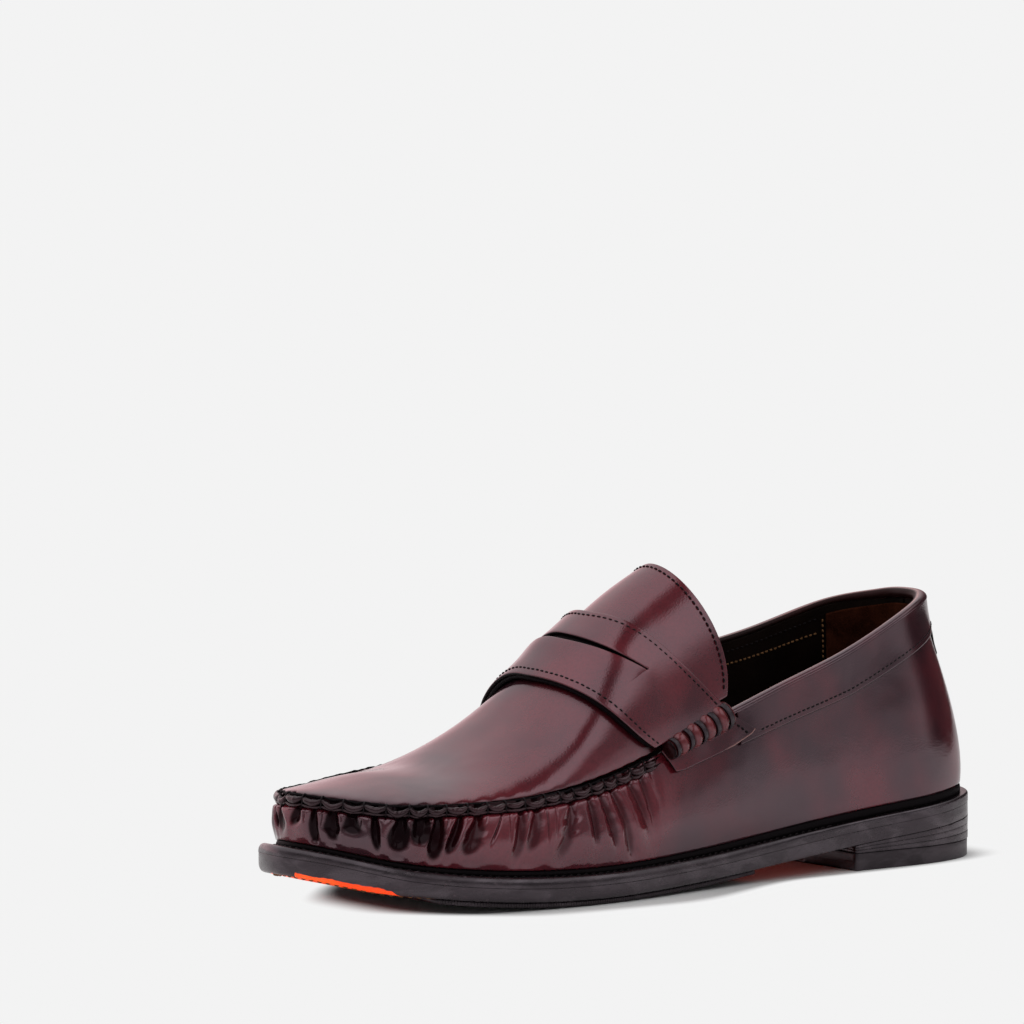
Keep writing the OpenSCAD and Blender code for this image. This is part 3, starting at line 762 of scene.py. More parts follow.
def pleat_depth(u, d):
    """How far the gathered leather sinks in pockets below the seam, in mm, at a distance d below the edge.

    Under each gather lies one pocket, most often a wide one, and up to two narrow ones beside it."""
    r = np.random.default_rng(23)
    x = top_run(u)
    k = inward(u)
    strength = smooth(k, 5.42, 5.8) * (0.6 + 0.4 * smooth(k, 6.6, 7.6)) * (1 - 0.25 * smooth(k, 9.4, 9.9))
    out = np.zeros(np.broadcast(u, d).shape)
    tall = height(u)
    for centre in CREASES:
        at = centre + r.uniform(1.5, 4.0)
        for part in range(1 + (r.uniform() < 0.6) + (r.uniform() < 0.35)):
            if part == 0 and r.uniform() < 0.86:
                wide, deep, reach = r.uniform(1.7, 3.8), r.uniform(2.1, 3.4), r.uniform(0.78, 1.05)
            else:
                wide, deep, reach = r.uniform(0.4, 0.8), r.uniform(0.4, 1.3), r.uniform(0.3, 0.75)
            place_x = at + (0, -3.4, 3.2)[part] + r.uniform(-0.6, 0.6)
            bend = r.uniform(0.05, 0.16)
            lean = r.uniform(-0.22, 0.18) * np.sign(at) + 0.42 * np.sign(at) * smooth(abs(at), 100, 135)
            start = r.uniform(3.4, 5.0) if part == 0 else r.uniform(3.8, 7.5)
            end = np.maximum(reach * tall - wide, start + 1.5)
            s = np.clip(d, start, end)
            wavy = 1 + bend * noise1(int(abs(at) * 9), 2.2)(s)
            width = wide * (0.45 + 0.55 * smooth(s, start, start + 7)) * wavy
            off = np.hypot(x - place_x - lean * (s - 5), np.maximum(d - end, start - d).clip(0) * 0.3)
            fade = 1 - 0.8 * smooth(d, end * 0.74, end * 1.12)
            out = np.maximum(out, deep * np.exp(-(off / width) ** 2.1) * fade)
    return out * strength


DEEPEST = -1.45     # no pocket sinks further, so that the wall keeps its lining covered


def wall_field(u, d):
    """Lift of the wall's outer skin off the plain wall, and the painted shade laid into its pockets and under
    the seam.
    """
    k = inward(u)
    x = top_run(u)
    gathered = smooth(k, 5.42, 6.1)
    valleys = pleat_depth(u, d)
    full = 1.25 * gathered * smooth(d, 4.2, 6.5) * (1 - 0.75 * smooth(d / height(u), 0.55, 0.95))
    wander = noise2(31, 5, 12)(x, d) * 0.25 * gathered * smooth(d, 3, 8) + noise2(32, 38, 26)(x, d) * 0.3
    neck = -0.5 * gathered * np.exp(-((d - 4.7) / 1.0) ** 2)
    # Painted shade: pockets darken with their depth, and the strip just under the gathered seam is painted
    # dark as its shadow
    shade = smooth(valleys, 0.3, 1.3) * (0.6 + 0.4 * smooth(k, 7.3, 8.3))
    dark = np.maximum(shade, gathered * (1 - smooth(d, 4.6, 5.4)))
    return np.maximum(full + wander + neck - valleys, DEEPEST), dark


def build_wall():
    front = np.linspace(5.2, 14.8, 1100, endpoint=False)
    back = np.linspace(14.8, 25.2, 200, endpoint=False)
    v = np.concatenate([[0, 0.006, 0.014, 0.026, 0.04], np.linspace(0.06, 0.965, 60), [0.975, 0.982, 0.986]])
    u, v = np.broadcast_arrays(np.concatenate([front, back])[:, None], v[None])
    # crease_shade is painted shade; the inner skin also lies deeper by it
    lift, crease_shade = wall_field(np.mod(u, LAP), (1 - v) * height(u))
    fade = smooth(v, 0.0, 0.12)
    seam_top = smooth(inward(np.mod(u, LAP)), 5.3, 5.6) * smooth(v, 0.7, 1)
    wall_sheet("upper_wall", u, v, lift * fade, -1.8 + 0.55 * seam_top - 0.4 * crease_shade * fade, 0.7, LEATHER,
               wrap=True, fields={"crease_shade": crease_shade * fade})


FAR_RISE = 0.95     # the seam stands up this much on the inner side of the toe


def rope(name, d, out, sag, thick, tall, pinch, sides, material, power, seed):
    """Gathered roll along the seam that swells between the stitches and hangs down by sag."""
    r = np.random.default_rng(seed)
    drop, fat = r.uniform(0.55, 1.5, len(CREASES)), r.uniform(0.82, 1.12, len(CREASES))
    u = np.linspace(SEAM_END - 0.02, LAP - SEAM_END + 0.02, 1800)
    x = top_run(u)
    i = gather_number(x)
    wave = np.sin(math.pi * scallop(x))
    v = below(u, d + sag * drop[i] * wave + 0.14 * noise1(seed + 2, 1.7)(x))
    n = wall_normal(u, v)
    centre = wall(u, v) + n * out
    up = unit(np.cross(n, unit(np.gradient(centre, axis=0))))
    swell = pinch + (fat[i] - pinch) * wave ** power
    swell *= 1 + 0.08 * noise1(seed, 3.0)(x) + 0.05 * noise1(seed + 1, 0.9)(x)
    ends = np.sqrt(np.clip(np.minimum(u - u[0], u[-1] - u) / 0.09, 0.01, 1))
    angle = circle(sides)
    folds = 1 + 0.08 * np.cos(3 * angle)[None] * noise1(seed + 3, 1.3)(x)[:, None]
    far = smooth(u, 10.3, 10.9) * (1 - smooth(u, 12.0, 13.2))
    swell = swell + (0.85 + 0.15 * swell - swell) * far * 0.7
    centre = centre + UP * far[:, None] * FAR_RISE
    radius = (swell * ends)[:, None] * oval(angle, thick, tall)[None] * folds
    # Painted shade: dark at the stitched creases between gathers, and along the rope's top and bottom sides
    # where it meets its neighbours
    dark = (1 - wave ** 0.45)[:, None] + 0.7 * smooth(np.abs(np.sin(angle)), 0.55, 0.98)[None]
    return tube(name, centre, n, up, radius, material, {"crease_shade": np.clip(dark, 0, 1)})


def seam_thread(u):
    """Thread pulled tight over a gather, from the apron's edge to the second roll."""
    n = wall_normal(u, 0.9)
    rim = top_edge(u) - n * 0.9 - np.array([0, 0, 0.2])
    lifts = ((0.4, 0.15), (1.4, 0.8), (2.8, 0.5), (3.9, 0.45), (4.7, 0.0))
    low = [wall(u, below(u, d)) + n * lift for d, lift in lifts]
    path = line_at(np.array([rim] + low), np.linspace(0, 5, 14))
    along = unit(np.gradient(path, axis=0))
    side = unit(np.cross(along, n))
    over = np.cross(side, along)
    angle = circle(8)[None, :, None]
    return path[:, None] + side[:, None] * np.cos(angle) * 0.34 + over[:, None] * np.sin(angle) * 0.24


def build_seam():
    rope("seam_scallops", 1.9, 0.35, 1.5, 1.3, 1.3, 0.34, 16, SEAM, 0.6, 3)
    rope("seam_lower_rope", 4.1, 0.1, 0.4, 0.85, 0.62, 0.5, 12, SEAM, 0.5, 8)
    # The lip is a black rope laid along the apron's edge: painted shade for the gap there
    lip = rope("seam_lip", 0.55, -0.3, 0.3, 0.45, 0.45, 0.8, 10, BLACK_AND_SHADE, 0.5, 14)
    gathers = [float(np.interp(x, TOP_RUN, GRID_U)) for x in CREASES]
    low, high = SEAM_END + SEAM_FADE, LAP - SEAM_END - SEAM_FADE
    lofts("seam_threads", [seam_thread(u) for u in gathers if low < u < high], BLACK_THREAD)


# ---------------------------------------------------------------- apron, strap and tongue

def apron_rear(q):
    return (strap_front(q) + strap_rear(q)) / 2 - 0.05


def build_apron():
    q = crowd(-0.985, 0.985, 150, 0.02)
    q, t = grid_between(q, 0.07, apron_rear(q), crowd(0, 1, 150, 0.008))
    p = instep(t, q)
    to_edge = np.linalg.norm(p - top_edge(TOE + t * np.where(q < 0, -1, 1)), axis=-1)
    ripple = -0.16 * np.cos(2 * math.pi * scallop(top_run(TOE + t * np.sign(q)))) * np.exp(-to_edge / 1.6)
    roll_in = -0.5 * np.exp(-to_edge / 1.0)
    wander = noise2(41, 34, 30)(p[..., 0], p[..., 1]) * 0.22 * smooth(to_edge, 2, 14)
    to_strap = np.linalg.norm(p - instep(strap_front(q), q), axis=-1) * np.sign(strap_front(q) - t)
    # Painted shade: dark along the apron's edge by the seam, and in front of the strap, where the strap's
    # shadow falls
    dark = np.clip(0.8 * np.exp(-to_edge / 0.9) + 0.95 * np.exp(-np.maximum(to_strap, 0) / 2.0), 0, 1)
    instep_sheet("apron", t, q, ripple + roll_in + wander, -1.8, 0.5, LEATHER, {"crease_shade": dark})


STRAP_SIDE, SLOT_SIDE = 0.94, 0.56
STRAP_LOW, STRAP_MID, STRAP_TOP = 0.25, 1.9, 3.4
HAIR = 0.004        # half the width, in stations, of the seam where the slot's two edges meet


def build_strap():
    """Saddle strap in two plies; the upper one is cut by the crescent slot."""
    side = crowd(SLOT_SIDE, STRAP_SIDE, 30, 0.02)[1:]
    middle = SLOT_SIDE * np.sin(np.linspace(-1, 1, 121) * math.pi / 2)
    q = np.concatenate([-side[::-1], middle, side])
    inside = np.abs(q) < SLOT_SIDE - 1e-6
    beyond = np.maximum(np.abs(q) - SLOT_SIDE, 0)
    half = np.where(inside, (slot_rear(q) - slot_front(q)) * 0.28 + HAIR, HAIR + beyond * 0.10)
    centre = np.where(inside, slot_rear(q) - half, slot_rear(SLOT_SIDE) - HAIR + beyond * 1.5)
    front_rows = crowd(0, 1, 26, 0.032)
    t = np.concatenate([rows_between(strap_front(q), centre - half, front_rows),
                        rows_between(centre + half, strap_rear(q), crowd(0, 1, 20, 0.032))], 1)
    grid_q = q[:, None] + 0 * t
    p = instep(t, grid_q)
    cut = len(front_rows) - 1
    holes = np.zeros((len(q), t.shape[1] - 1), bool)
    holes[:-1, cut] = inside[:-1] | inside[1:]
    rim = np.concatenate([p[inside, cut], p[inside, cut + 1]])
    reach = np.min(np.linalg.norm(p[:, :, None] - rim[None, None], axis=-1), axis=2)
    k = np.maximum(rounding(p, 0.55) * np.maximum(round_off(reach / 0.5), THIN), THIN)
    open_share = np.sqrt(np.clip(1 - (q / SLOT_SIDE) ** 2, 0, 1))[:, None]
    lifted = 0.9 * np.exp(-(reach / 6) ** 2) * (t < centre[:, None]) * open_share
    lifted = lifted + 0.2 * np.exp(-(reach / 4) ** 2)
    top = STRAP_TOP + lifted + noise2(51, 30, 26)(p[..., 0], p[..., 1]) * 0.15
    sheet("saddle_strap", p, instep_normal(t, grid_q), top, STRAP_MID + 0.6 * lifted, k, LEATHER, holes=holes)
    q = crowd(-STRAP_SIDE + 0.005, STRAP_SIDE - 0.005, 90, 0.02)
    q, t = grid_between(q, strap_front(q) - 0.004, strap_rear(q) - 0.012, crowd(0, 1, 40, 0.02))
    # The backing's matte black is its black edge, and painted shade where it shows through the slot
    instep_sheet("strap_backing", t, q, STRAP_MID - 0.08, STRAP_LOW, 0.4, BLACK_AND_SHADE)


SEWN = (2.35, 2.1)      # pitch and length of the stitches of the upper
SEWN_RADIUS = 0.28


def sewn_row(curve, shift, side, lift, n=260):
    """Line over the instep a distance shift behind t = curve(q), q from -side to side, with its normals."""
    e = 0.01
    q = np.linspace(-side, side, n)
    step = np.linalg.norm(instep(curve(q) + e, q) - instep(curve(q) - e, q), axis=-1) / (2 * e)
    t = curve(q) + shift / step
    up = instep_normal(t, q)
    return instep(t, q) + up * lift, up


def wall_line(u, v, lift):
    """Line on the wall through stations u and heights v, with its normals."""
    up = wall_normal(u, v)
    return wall(u, v) + up * lift, up


def build_strap_stitches():
    rows = ((strap_front, 2.9), (strap_rear, -2.5))
    lines = [sewn_row(curve, shift, 0.93, STRAP_TOP - 0.05) for curve, shift in rows]
    stitches("strap_stitches", lines, *SEWN, SEWN_RADIUS, BLACK_THREAD, seed=61)


def build_tongue():
    q = crowd(-0.9, 0.9, 90, 0.02)
    start = apron_rear(q) + 0.06
    grid_q, t = grid_between(q, start, tongue_end(q), crowd(0, 1, 80, 0.012))
    p = instep(t, grid_q)
    instep_sheet("tongue", t, grid_q, noise2(71, 30, 24)(p[..., 0], p[..., 1]) * 0.25, -1.6, 0.55, LEATHER)
    low = np.maximum(strap_rear(q) + 0.06, start)
    grid_q, t = grid_between(q, low, tongue_end(q) - 0.035, crowd(0, 1, 50, 0.015))
    instep_sheet("tongue_lining", t, grid_q * 0.985, -1.75, -2.6, 0.4, LINING)
    row = sewn_row(tongue_end, -2.6, 0.86, 0.1, 320)
    stitches("tongue_stitches", [row], *SEWN, SEWN_RADIUS, BLACK_THREAD, seed=72)


# ---------------------------------------------------------------- beef rolls

ROLL_REAR, ROLL_FRONT = 4.60, 5.38
WRAPS = 5
WRAP_PLACES = [0.07 + 0.86 * i / (WRAPS - 1) for i in range(WRAPS)]


def roll_axis(k, side):
    """Centre line of a roll, k from 0 at the rear to 1 at the front, with its radius."""
    k = np.asarray(k, float)
    u = on_side(ROLL_REAR + (ROLL_FRONT - ROLL_REAR) * k, side)
    centre = top_edge(u) + flat_normal(u) * (0.7 + 2.2 * k)[..., None] + UP * 1.2 * (1 - k)[..., None]
    return centre, 5.6 - 1.8 * k


def roll_frames(k, side):
    """Directions along the roll, out of the shoe and up, at k."""
    e = 0.01
    along = unit(roll_axis(k + e, side)[0] - roll_axis(k - e, side)[0])
    out = unit(np.cross(along, UP) * (-side))
    up = np.cross(out, along)
    return along, out, up * np.sign(up[..., 2:])


def build_roll(name, side):
    k = np.linspace(-0.03, 1.03, 150)
    centre, radius = roll_axis(k, side)
    _, out, up = roll_frames(k, side)
    near = np.min(np.abs(k[:, None] - np.array(WRAP_PLACES)[None]), axis=1)
    bulge = 0.84 + 0.18 * smooth(near, 0.02, 0.10)
    caps = np.maximum(round_off(np.minimum(k + 0.03, 1.03 - k) / 0.06), 0.02 ** 0.5)
    angle = circle(40)
    folds = 1 + 0.03 * np.cos(3 * angle + 1)[None]
    folds = folds + 0.02 * noise2(81 + side, 6, 0.8)(k[:, None] * 24, angle[None])
    # Painted shade: dark where the wraps pinch the roll, and at its front end, where it tucks in
    dark = 0.9 * (1 - smooth(near, 0.035, 0.075)) + smooth(k, 0.965, 1.0)
    tube(f"beef_roll_{name}", centre, out, up, (radius * bulge * caps)[:, None] * folds, ROLL,
         {"crease_shade": dark[:, None]})


def wrap_ring(side, k, wide, thick, turn):
    """Flat turn of thread round the roll, as sections of a closed ring."""
    centre, radius = roll_axis(k, side)
    along, out, up = roll_frames(k, side)
    angle = circle(48)[:, None]
    way = out[None] * np.cos(angle) + up[None] * np.sin(angle)
    across = circle(12)
    x = np.sign(np.cos(across)) * np.abs(np.cos(across)) ** 0.5 * wide / 2
    ring = centre + way[:, None] * (radius * 0.93 + np.sin(across) * thick / 2)[None, :, None]
    return ring + along[None, None] * (x[None, :, None] + (turn * np.sin(angle))[..., None])


def build_wraps(name, side):
    r = np.random.default_rng(90 + side)
    wide = [2.1 - 0.4 * i / WRAPS for i in range(WRAPS)]
    rings = [wrap_ring(side, k, w, 0.6, r.uniform(-0.5, 0.5)) for k, w in zip(WRAP_PLACES, wide)]
    lofts(f"roll_wraps_{name}", rings, WAX_THREAD, closed=True)


TAB_TOP, TAB_LOW = 4.535, 4.27


def build_tab(name, side):
    """End of the strap, folded down over the wall under the roll, with a slanting rear edge."""
    share_u = crowd(0, 1, 46, 0.025)
    share_d = crowd(0, 1, 36, 0.05)
    low = np.interp(share_u, [0, 0.05, 0.28, 0.9, 1], [9.2, 10.4, 11.4, 10.6, 9.6])
    u = rows_between(TAB_TOP + (5.42 - TAB_TOP) * share_u, TAB_LOW + (5.30 - TAB_LOW) * share_u, share_d)
    d = 0.15 + (low - 0.15)[:, None] * share_d[None]
    station = on_side(u, side)
    lift = 1.95 + 0.3 * noise2(95, 8, 6)(u * 30, d)
    # Pale cut edge along the tab's lower edge, towards its rear
    pale_edge_and_highlight = {"pale_edge_and_highlight": smooth(share_d, 0.93, 0.975)[None] * (1 - smooth(share_u, 0.30, 0.42))[:, None]}
    wall_sheet(f"strap_tab_{name}", station, below(station, d), lift, 1.05, 0.45, LEATHER, fields=pale_edge_and_highlight)
    share = np.linspace(0.05, 0.9, 24)
    station = on_side(TAB_TOP + (TAB_LOW - TAB_TOP) * share + 0.075, side)
    line = wall_line(station, below(station, 0.15 + (10.5 - 0.15) * share), 2.0)
    stitches(f"tab_stitches_{name}", [line], 2.1, 1.75, 0.36, BLACK_THREAD, seed=97)


# ---------------------------------------------------------------- collar and linings

BAND_FRONT = 4.46


def band_low(u):
    return 0.73 + 0.12 * np.maximum(0, 1 - inward(np.mod(u, LAP)) / 3)


def build_collar():
    for name, from_u, to_u in (("lateral", 0.012, BAND_FRONT), ("medial", LAP - BAND_FRONT, 19.988)):
        u = crowd(from_u, to_u, 150, 0.02)
        u, v = grid_between(u, band_low(u), 0.998, crowd(0, 1, 20, 0.06))
        wander = noise2(101, 26, 14)(top_run(u), v * 40) * 0.10
        rim = 1 - smooth((v - v[:, :1]) * height(u), 0.1, 0.45)
        wall_sheet(f"collar_band_{name}", u, v, 1.15 + wander, 0.05, 0.5, LEATHER, fields={"edge": rim})
    spans = [np.linspace(low, high, 260) for low, high in ((0.05, 4.2), (15.8, 19.95))]
    lines = [wall_line(u, band_low(u) + 2.3 / height(u), 1.12) for u in spans]
    stitches("collar_stitches", lines, *SEWN, 0.27, BLACK_THREAD, seed=103)
    u = crowd(-0.72, 0.72, 31, 0.03)
    u, v = grid_between(u, 0.645 + 0.03 * u * u, 0.80, crowd(0, 1, 12, 0.05))
    wall_sheet("heel_tab", u, v, 1.1 + 0.5 * smooth(v, 0.7, 0.8), 0.05, 0.5, BLACK_AND_SHADE)


def build_topline():
    """Rolled edge of the collar, padded at the back of the heel."""
    end = 4.60
    u = np.linspace(-end, end, 420)
    padded = smooth(2.2 - np.abs(u), 0, 1.6)
    n = flat_normal(u)
    centre = wall(u, 0.985 + 0 * u) - n * (0.95 + 0.5 * padded)[:, None] + UP * (0.8 - 0.5 * padded)[:, None]
    angle = circle(28)
    shape = oval(angle[None], (1.9 + 0.8 * padded)[:, None], (1.35 + 0.75 * padded)[:, None])
    shape = shape * np.sqrt(np.clip((end - np.abs(u)) / 0.05, 0.02, 1))[:, None]
    shape = shape * (1 + 0.02 * noise2(111, 14, 1.1)(top_run(u)[:, None], angle[None]))
    inside = smooth(-np.cos(angle), 0.45, 0.75)[None] + 0 * shape
    # The turned-in inner side is flesh; the pale band along the top of the binding is a painted highlight
    tube("topline_binding", centre, n, np.broadcast_to(UP, n.shape), shape, LEATHER,
         {"flesh": inside * 0.9, "pale_edge_and_highlight": smooth(-np.cos(angle), 0.0, 0.4)[None] * (1 - inside)})


def lining_depth(v):
    """Depth of the lining's outer face behind the skin of the wall."""
    closing = np.maximum(0, (v - 0.7) / 0.3)
    return 1.9 + 1.1 * (1 - closing) - 0.72 * np.maximum(0, (v - 0.8) / 0.2)


def inner_line(u, v):
    """Line on the inner face of the lining, with normals that point into the shoe."""
    line, up = wall_line(u, v, -lining_depth(v)[..., None] - 0.97)
    return line, -up


def build_linings():
    for name, from_u, to_u in (("lateral", 0.03, 5.55), ("medial", 14.45, 19.97)):
        u, v = np.meshgrid(crowd(from_u, to_u, 110, 0.02), crowd(0.06, 0.985, 40, 0.015), indexing="ij")
        lift = lining_depth(v) + noise2(121, 24, 18)(top_run(u), v * 50) * 0.12
        wall_sheet(f"quarter_lining_{name}", u, v, -lift - 0.15, -lift - 0.95, 0.4, LINING)
    u = crowd(-2.0, 2.0, 120, 0.02)
    u, v = grid_between(u, 0.36 + 0.02 * u * u, 0.94, crowd(0, 1, 40, 0.02))
    lift = lining_depth(v) + 1.0
    pile = noise2(131, 3, 3)(top_run(u), v * 60) * 0.12 + noise2(132, 12, 10)(top_run(u), v * 60) * 0.2
    wall_sheet("heel_grip", u, v, -lift - 0.1, -lift - 1.1 + pile, 0.4, SUEDE)
    spans = [np.linspace(low, high, 120) for low, high in ((2.12, 4.5), (15.5, 17.88))]
    upright = np.linspace(0.45, 0.92, 40)
    lines = [inner_line(u, 0.845 + 0 * u) for u in spans]
    lines += [inner_line(station + 0 * upright, upright) for station in (2.04, 17.96)]
    stitches("lining_stitches", lines, 2.0, 1.45, 0.36, TAN_THREAD, seed=133)
    lines = [inner_line(u, 0.925 + 0 * u) for u in spans]
    stitches("lining_dark_stitches", lines, 2.2, 1.6, 0.3, BLACK_THREAD, seed=134)


# ---------------------------------------------------------------- sole and heel

def laps(n):
    return np.linspace(0, LAP, n, endpoint=False)[:, None]


def ring_piece(name, u, inset, lift, material, filled=True):
    """Solid that follows the edge of the sole: a profile of insets and lifts swept round it.

    A filled one has its first and last points joined across the shoe, the others are closed rings."""
    points = sole_point(u, inset, lift)
    n, m = points.shape[:2]
    faces = cells(n, m, True, not filled).reshape(-1, 4).tolist()
    if filled:
        for row, flip in ((0, False), (m - 1, True)):
            for k in range(1, n // 2 + 1):
                corners = [i % n * m + row for i in (k - 1, k, n - k, n - k + 1)]
                corners = list(dict.fromkeys(corners))
                faces.append(corners[::-1] if flip else corners)
    piece(name, points.reshape(-1, 3), faces, material, {"inset": inset + 0 * points[..., 0]})


def rounded(inset, low, high, deep, low_round, high_round, steps=7):
    """Insets and heights from the inside of the underside, round the edge, to the inside of the top.

    The roundings are elliptical, each given as (across, upright)."""
    points = [(deep, low), (inset + low_round[0] + 2, low)]
    for (across, upright), angles in ((low_round, (-90, 0)), (high_round, (0, 90))):
        z = low + upright if angles[0] < 0 else high - upright
        for a in np.radians(np.linspace(*angles, steps)):
            points.append((inset + across * (1 - math.cos(a)), z + upright * math.sin(a)))
    return np.array(points + [(inset + high_round[0] + 2, high), (deep, high)]).T


def build_sole():
    """Outsole, welt, rand, stitches and sock. The edges are rounder at the forefoot than at the heel."""
    u = laps(720)
    wave = 0.08 * noise1(141, 7)(top_run(u))
    ahead = 0.12 + 0.88 * smooth(inward(u), 3.0, 5.2)
    inset, z = rounded(0.1, 0, OUTSOLE_T, 14, (1.5, 2.2), (0.12, 0.18))
    inset, z = np.insert(inset, 1, 4), np.insert(z, 1, 0)
    edge = ((z > 0) | (inset <= 2)) & (z < 2.5)
    lift = z * np.where(z < 2.3, ahead, 1) - toe_drop(u) * (1 - z / OUTSOLE_T)
    ring_piece("outsole", u, inset * np.where(edge, ahead, 1) + wave, lift, SOLE)
    inset, z = rounded(0.02, OUTSOLE_T + 0.05, SOLE_T, 11, (0.12, 0.18), (2.3, 3.0), 9)
    inset = inset * np.where(inset < 2.5, 0.25 + 0.75 * ahead, 1)
    lift = SOLE_T - (SOLE_T - z) * np.where(z > SOLE_T - 3, 0.3 + 0.7 * ahead, 1)
    ring_piece("welt", u, inset + wave, lift, EDGE, False)
    u = laps(520)
    share = np.array([0, 0, 0.35, 0.7, 1, 1])
    # The rand is a matte black band in the recess above the welt: partly the dark welt, mostly painted shade
    ring_piece("rand", u, ring_at(INSET, u) + np.array([3, -0.1, -0.15, 0, 0.4, 3]),
               SOLE_T + 0.08 + share * (ring_at(RAND, u) + 0.25), BLACK_AND_SHADE, False)
    u = np.linspace(3.3, 16.7, 900)
    row = (sole_point(u, ring_at(INSET, u) - 1.0, SOLE_T + 0.02), np.broadcast_to(UP, (len(u), 3)))
    stitches("welt_stitches", [row], 3.2, 2.5, 0.25, BLACK_THREAD, sink=0.75, seed=145)
    u = np.linspace(6.6, 13.4, 600)
    row = (sole_point(u, 5.4, 0.05 - toe_drop(u)), np.broadcast_to(-UP, (len(u), 3)))
    stitches("outsole_stitches", [row], 3.2, 2.4, 0.4, TAN_THREAD, seed=146)
    base = SOLE_T + 2.3
    sock = rounded(10, base, base + 1.1, 22, (0.4, 0.4), (0.4, 0.4), 3)
    ring_piece("sock_lining", laps(300), *sock, LINING)


def station_at(s):
    """Station on the outer side a distance s from the back of the heel."""
    u = np.linspace(0, TOE, 4001)
    return float(np.interp(s, ring_at(SOLE_S, u), u))


TOP_PIECE_T, HEEL_LENGTH = 6.5, 72
BREAST = station_at(HEEL_LENGTH)


def heel_outline(inset):
    """Ring round the heel, starting and ending at the middle of its slightly bowed breast."""
    front = HEEL_CENTRE - HEEL_LENGTH + inset
    side = np.linspace(BREAST, 0, 90)
    way = sole_point(np.concatenate([side, LAP - side[-2::-1]]), inset, 0)
    way[:, 0] = np.maximum(way[:, 0], front)
    corner, far = way[0, 1], way[-1, 1]
    middle = (corner + far) / 2
    ends = []
    for y in (np.linspace(middle, corner, 14)[:-1], np.linspace(far, middle, 14)[1:]):
        bow = front + 1.6 * (1 - ((y - middle) / (far - middle)) ** 2)
        ends.append(np.stack([bow, y, 0 * y], 1))
    return np.concatenate([ends[0], way, ends[1]])


def stacked(name, levels, material):
    """Solid through rings round the heel; levels are (inset, a height function of s, height above it)."""
    rings = []
    for inset, rise, more in levels:
        ring = heel_outline(inset)
        ring[:, 2] = rise(HEEL_CENTRE - ring[:, 0]) + more
        rings.append(ring)
    loft(name, np.array(rings), material)


def slab(name, inset, low, high, radius, material):
    """Layer of the heel with rounded rims, between the height functions low and high."""
    arc = [(radius * (1 - math.sin(a)), radius * (1 - math.cos(a))) for a in np.radians([0, 30, 60, 90])]
    levels = [(inset + across, low, up) for across, up in arc]
    levels += [(inset + across, high, -up) for across, up in arc[::-1]]
    stacked(name, levels, material)


def build_heel():
    def between(share, lift):
        return lambda s: TOP_PIECE_T + (underside(s) - 0.1 - TOP_PIECE_T) * share + lift

    slab("heel_top_piece", 0.25, lambda s: 0 * s, lambda s: TOP_PIECE_T - 0.06 + 0 * s, 0.45, RUBBER)
    for k in range(3):
        low, high = between(k / 3, 0.04), between((k + 1) / 3, -0.02)
        slab(f"heel_lift_{k + 1}", 0.06 * (k % 2), low, high, 0.10, EDGE)
    profile = ((16, 3.5), (15.7, 4.0), (16, 4.5), (17.2, 4.6))
    stacked("heel_pad", [(inset, underside, SOLE_T + z) for inset, z in profile], LINING)


def build_tread():
    """Thin rubber forefoot tread with fine ribs moulded along its edge."""
    side = np.linspace(station_at(122), station_at(262), 1500)
    ways = (side, LAP - side)
    ribs = [np.clip(np.sin(run_along(sole_point(u, 1.5, 0)) * 2 * math.pi / 1.05) * 2, -1, 1) for u in ways]
    sections = []
    for x, z in ((0.9, 0), (0.35, 0), (0.05, -0.3), (0, -0.8), (0.05, -1.3), (0.4, -1.6), (1.2, -1.65)):
        deep = 0.22 * (x < 0.3)
        a, b = (sole_point(u, 1.4 + x + deep * rib, z - 0.05) for u, rib in zip(ways, ribs))
        sections.append(np.concatenate([a, b[::-1]]))
    loft("forefoot_tread", np.array(sections), RUBBER)


build_wall()
build_seam()
build_apron()
build_strap()
build_strap_stitches()
build_tongue()
for side_name, side_sign in (("lateral", -1), ("medial", 1)):
    build_roll(side_name, side_sign)
    build_wraps(side_name, side_sign)
    build_tab(side_name, side_sign)
build_collar()
build_topline()
build_linings()
build_sole()
build_heel()
build_tread()

# CAD nodes that stay as they are. They lie inside the shoe, or in the heel's underside like the nails.
KEPT = {"heel_nails": STEEL, "shank": STEEL, "cork_filler": CORK, "insole_board": BOARD,
        "heel_counter": BOARD, "toe_puff": BOARD, "vamp_lining": LINING, "toe_wall_lining": LINING}
for kept, finish in KEPT.items():
    obj = NODES[kept]
    if not obj.material_slots:
        obj.data.materials.append(finish)
    for material_slot in obj.material_slots:
        material_slot.material = finish


# ---------------------------------------------------------------- studio

PAPER_SEEN = (0.896, 0.896, 0.896)
FLOOR_SEEN = (0.86, 0.86, 0.86)
AZIMUTH, PITCH, RANGE, LENS = math.radians(-37.1273), math.radians(3.8729), 2.0, 200.95
TARGET = np.array([-0.165237, 0, 0.133173])
RIGHT = np.array([math.cos(AZIMUTH), math.sin(AZIMUTH), 0])
AWAY = np.array([-math.sin(AZIMUTH), math.cos(AZIMUTH), 0])


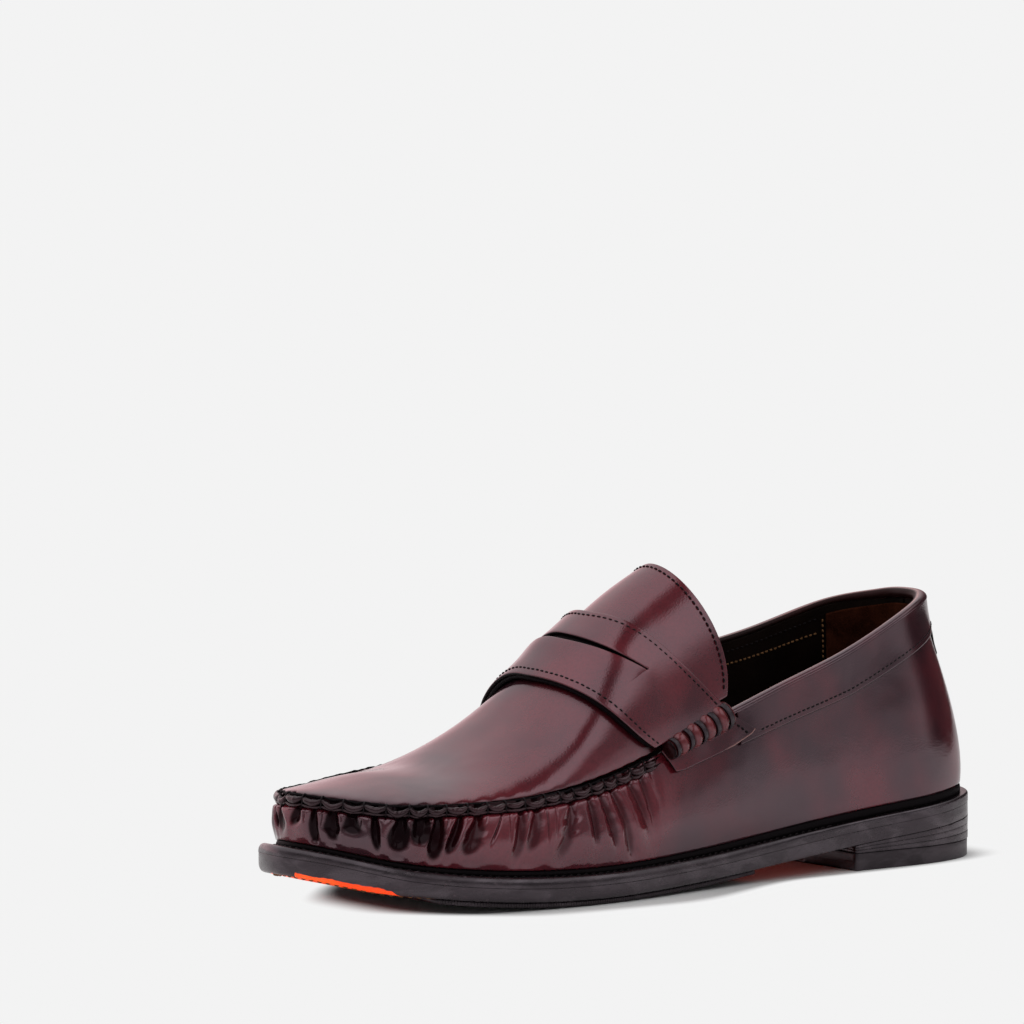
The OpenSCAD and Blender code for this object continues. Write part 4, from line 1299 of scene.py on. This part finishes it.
def studio_floor():
    """Plain pale floor; away from the shoe the camera sees it as even paper."""
    f = Finish("paper_floor")
    camera_ray = f.camera_ray()
    paper = f.mix(f.noise(900, 2), (0.88, 0.88, 0.88), (0.90, 0.90, 0.90))
    x, y, _ = f.axes(f.place)
    ahead = f.times(x, -1.0)
    half = f.math("SUBTRACT", f.span(ahead, 0.06, 0.14, 0.038, 0.061), f.span(ahead, 0.19, 0.262, 0.0, 0.034))
    across = f.math("DIVIDE", y, half)
    along = f.math("DIVIDE", f.add_up(x, 0.098), 0.134)
    far = f.add_up(*(f.math("POWER", f.math("ABSOLUTE", way), 4.0) for way in (along, across)))
    share = f.times(f.span(f.math("POWER", far, 0.25), 0.94, 1.10), camera_ray)
    f.set(color=f.mix(camera_ray, paper, FLOOR_SEEN), roughness=0.9, specular=0.0)
    glow = f.made("ShaderNodeEmission", {"Color": PAPER_SEEN})
    blended = f.made("ShaderNodeMixShader", {0: share, 1: f.shader.outputs[0], 2: glow})
    f.link(blended, f.tree.nodes["Material Output"].inputs["Surface"])
    grid = np.linspace(-4.5, 4.5, 10) / MM
    x, y = np.meshgrid(grid, grid, indexing="ij")
    faces = cells(len(grid), len(grid), False, False).reshape(-1, 4)[:, ::-1].tolist()
    mesh_object("studio_floor", np.stack([x, y, 0 * x], -1).reshape(-1, 3), faces, f.material)


def studio_world():
    """Bright paper behind the shoe and above it, dimmer on the camera's side and towards the heel."""
    world = bpy.data.worlds.new("studio")
    bpy.context.scene.world = world
    world.use_nodes = True
    w = Nodes(world.node_tree, "Generated")

    def towards(way):
        return w.made("ShaderNodeVectorMath", {0: w.place, 1: tuple(way)}, "Value", operation="DOT_PRODUCT")

    up, behind = towards(UP), towards(AWAY)
    card = w.span(towards((AWAY + RIGHT) / math.sqrt(2)), 0.60, 0.92, 1.0, 0.06)
    far_level = w.times(w.span(up, 0.10, 0.50, 1.08, 0.86), card)
    near_level = w.span(up, 0.45, 0.68, w.span(up, 0.10, 0.20, 0.48, 0.22), 1.0)
    level = w.span(behind, -0.10, 0.30, near_level, far_level)
    sideways = w.math("ABSOLUTE", w.math("SUBTRACT", towards(RIGHT), 0.30))
    gap = w.span(sideways, 0.07, 0.17, 0.10, 1.0)
    level = w.times(level, w.span(up, 0.45, 0.62, 1.0, gap))
    seen = w.camera_ray()
    background = w.tree.nodes["Background"]
    w.link(w.span(seen, 0.0, 1.0, level, PAPER_SEEN[0]), background.inputs["Strength"])
    low_behind = w.times(w.span(behind, 0.0, 0.4), w.span(up, 0.2, 0.7, 1.0, 0.0))
    warm = w.mix(w.span(low_behind, 0.0, 1.0), (1, 1, 1), (1, 0.76, 0.78))
    w.link(w.mix(seen, warm, (1, 1, 1)), background.inputs["Color"])


def aim(thing, place, back):
    """Puts a light or camera in the scene, with its own z axis along back."""
    back = unit(np.array(back, float))
    right = unit(np.cross(UP, back))
    turn = Matrix(np.stack([right, np.cross(back, right), back], 1).tolist()).to_4x4()
    turn.translation = place
    thing.matrix_world = turn
    bpy.context.scene.collection.objects.link(thing)


def studio_softbox():
    place, target, size, radiance = (-0.55, 0.60, 1.8), (-0.11, 0, 0.05), (1.3, 0.9), 1.35
    data = bpy.data.lights.new("overhead", "AREA")
    data.shape = "RECTANGLE"
    data.size, data.size_y = size
    data.energy = radiance * math.pi * size[0] * size[1]
    data.color = (1.0, 0.96, 0.94)
    light = bpy.data.objects.new("overhead", data)
    light.visible_glossy = False
    aim(light, place, np.array(place) - np.array(target))


def studio_camera():
    data = bpy.data.cameras.new("camera")
    data.sensor_width, data.lens = 36.0, LENS
    data.clip_start, data.clip_end = 0.1, 50
    camera = bpy.data.objects.new("camera", data)
    back = UP * math.sin(PITCH) - AWAY * math.cos(PITCH)
    aim(camera, TARGET + back * RANGE, back)
    bpy.context.scene.camera = camera


studio_floor()
studio_world()
studio_camera()
studio_softbox()
bpy.context.scene.view_settings.view_transform = "Standard"
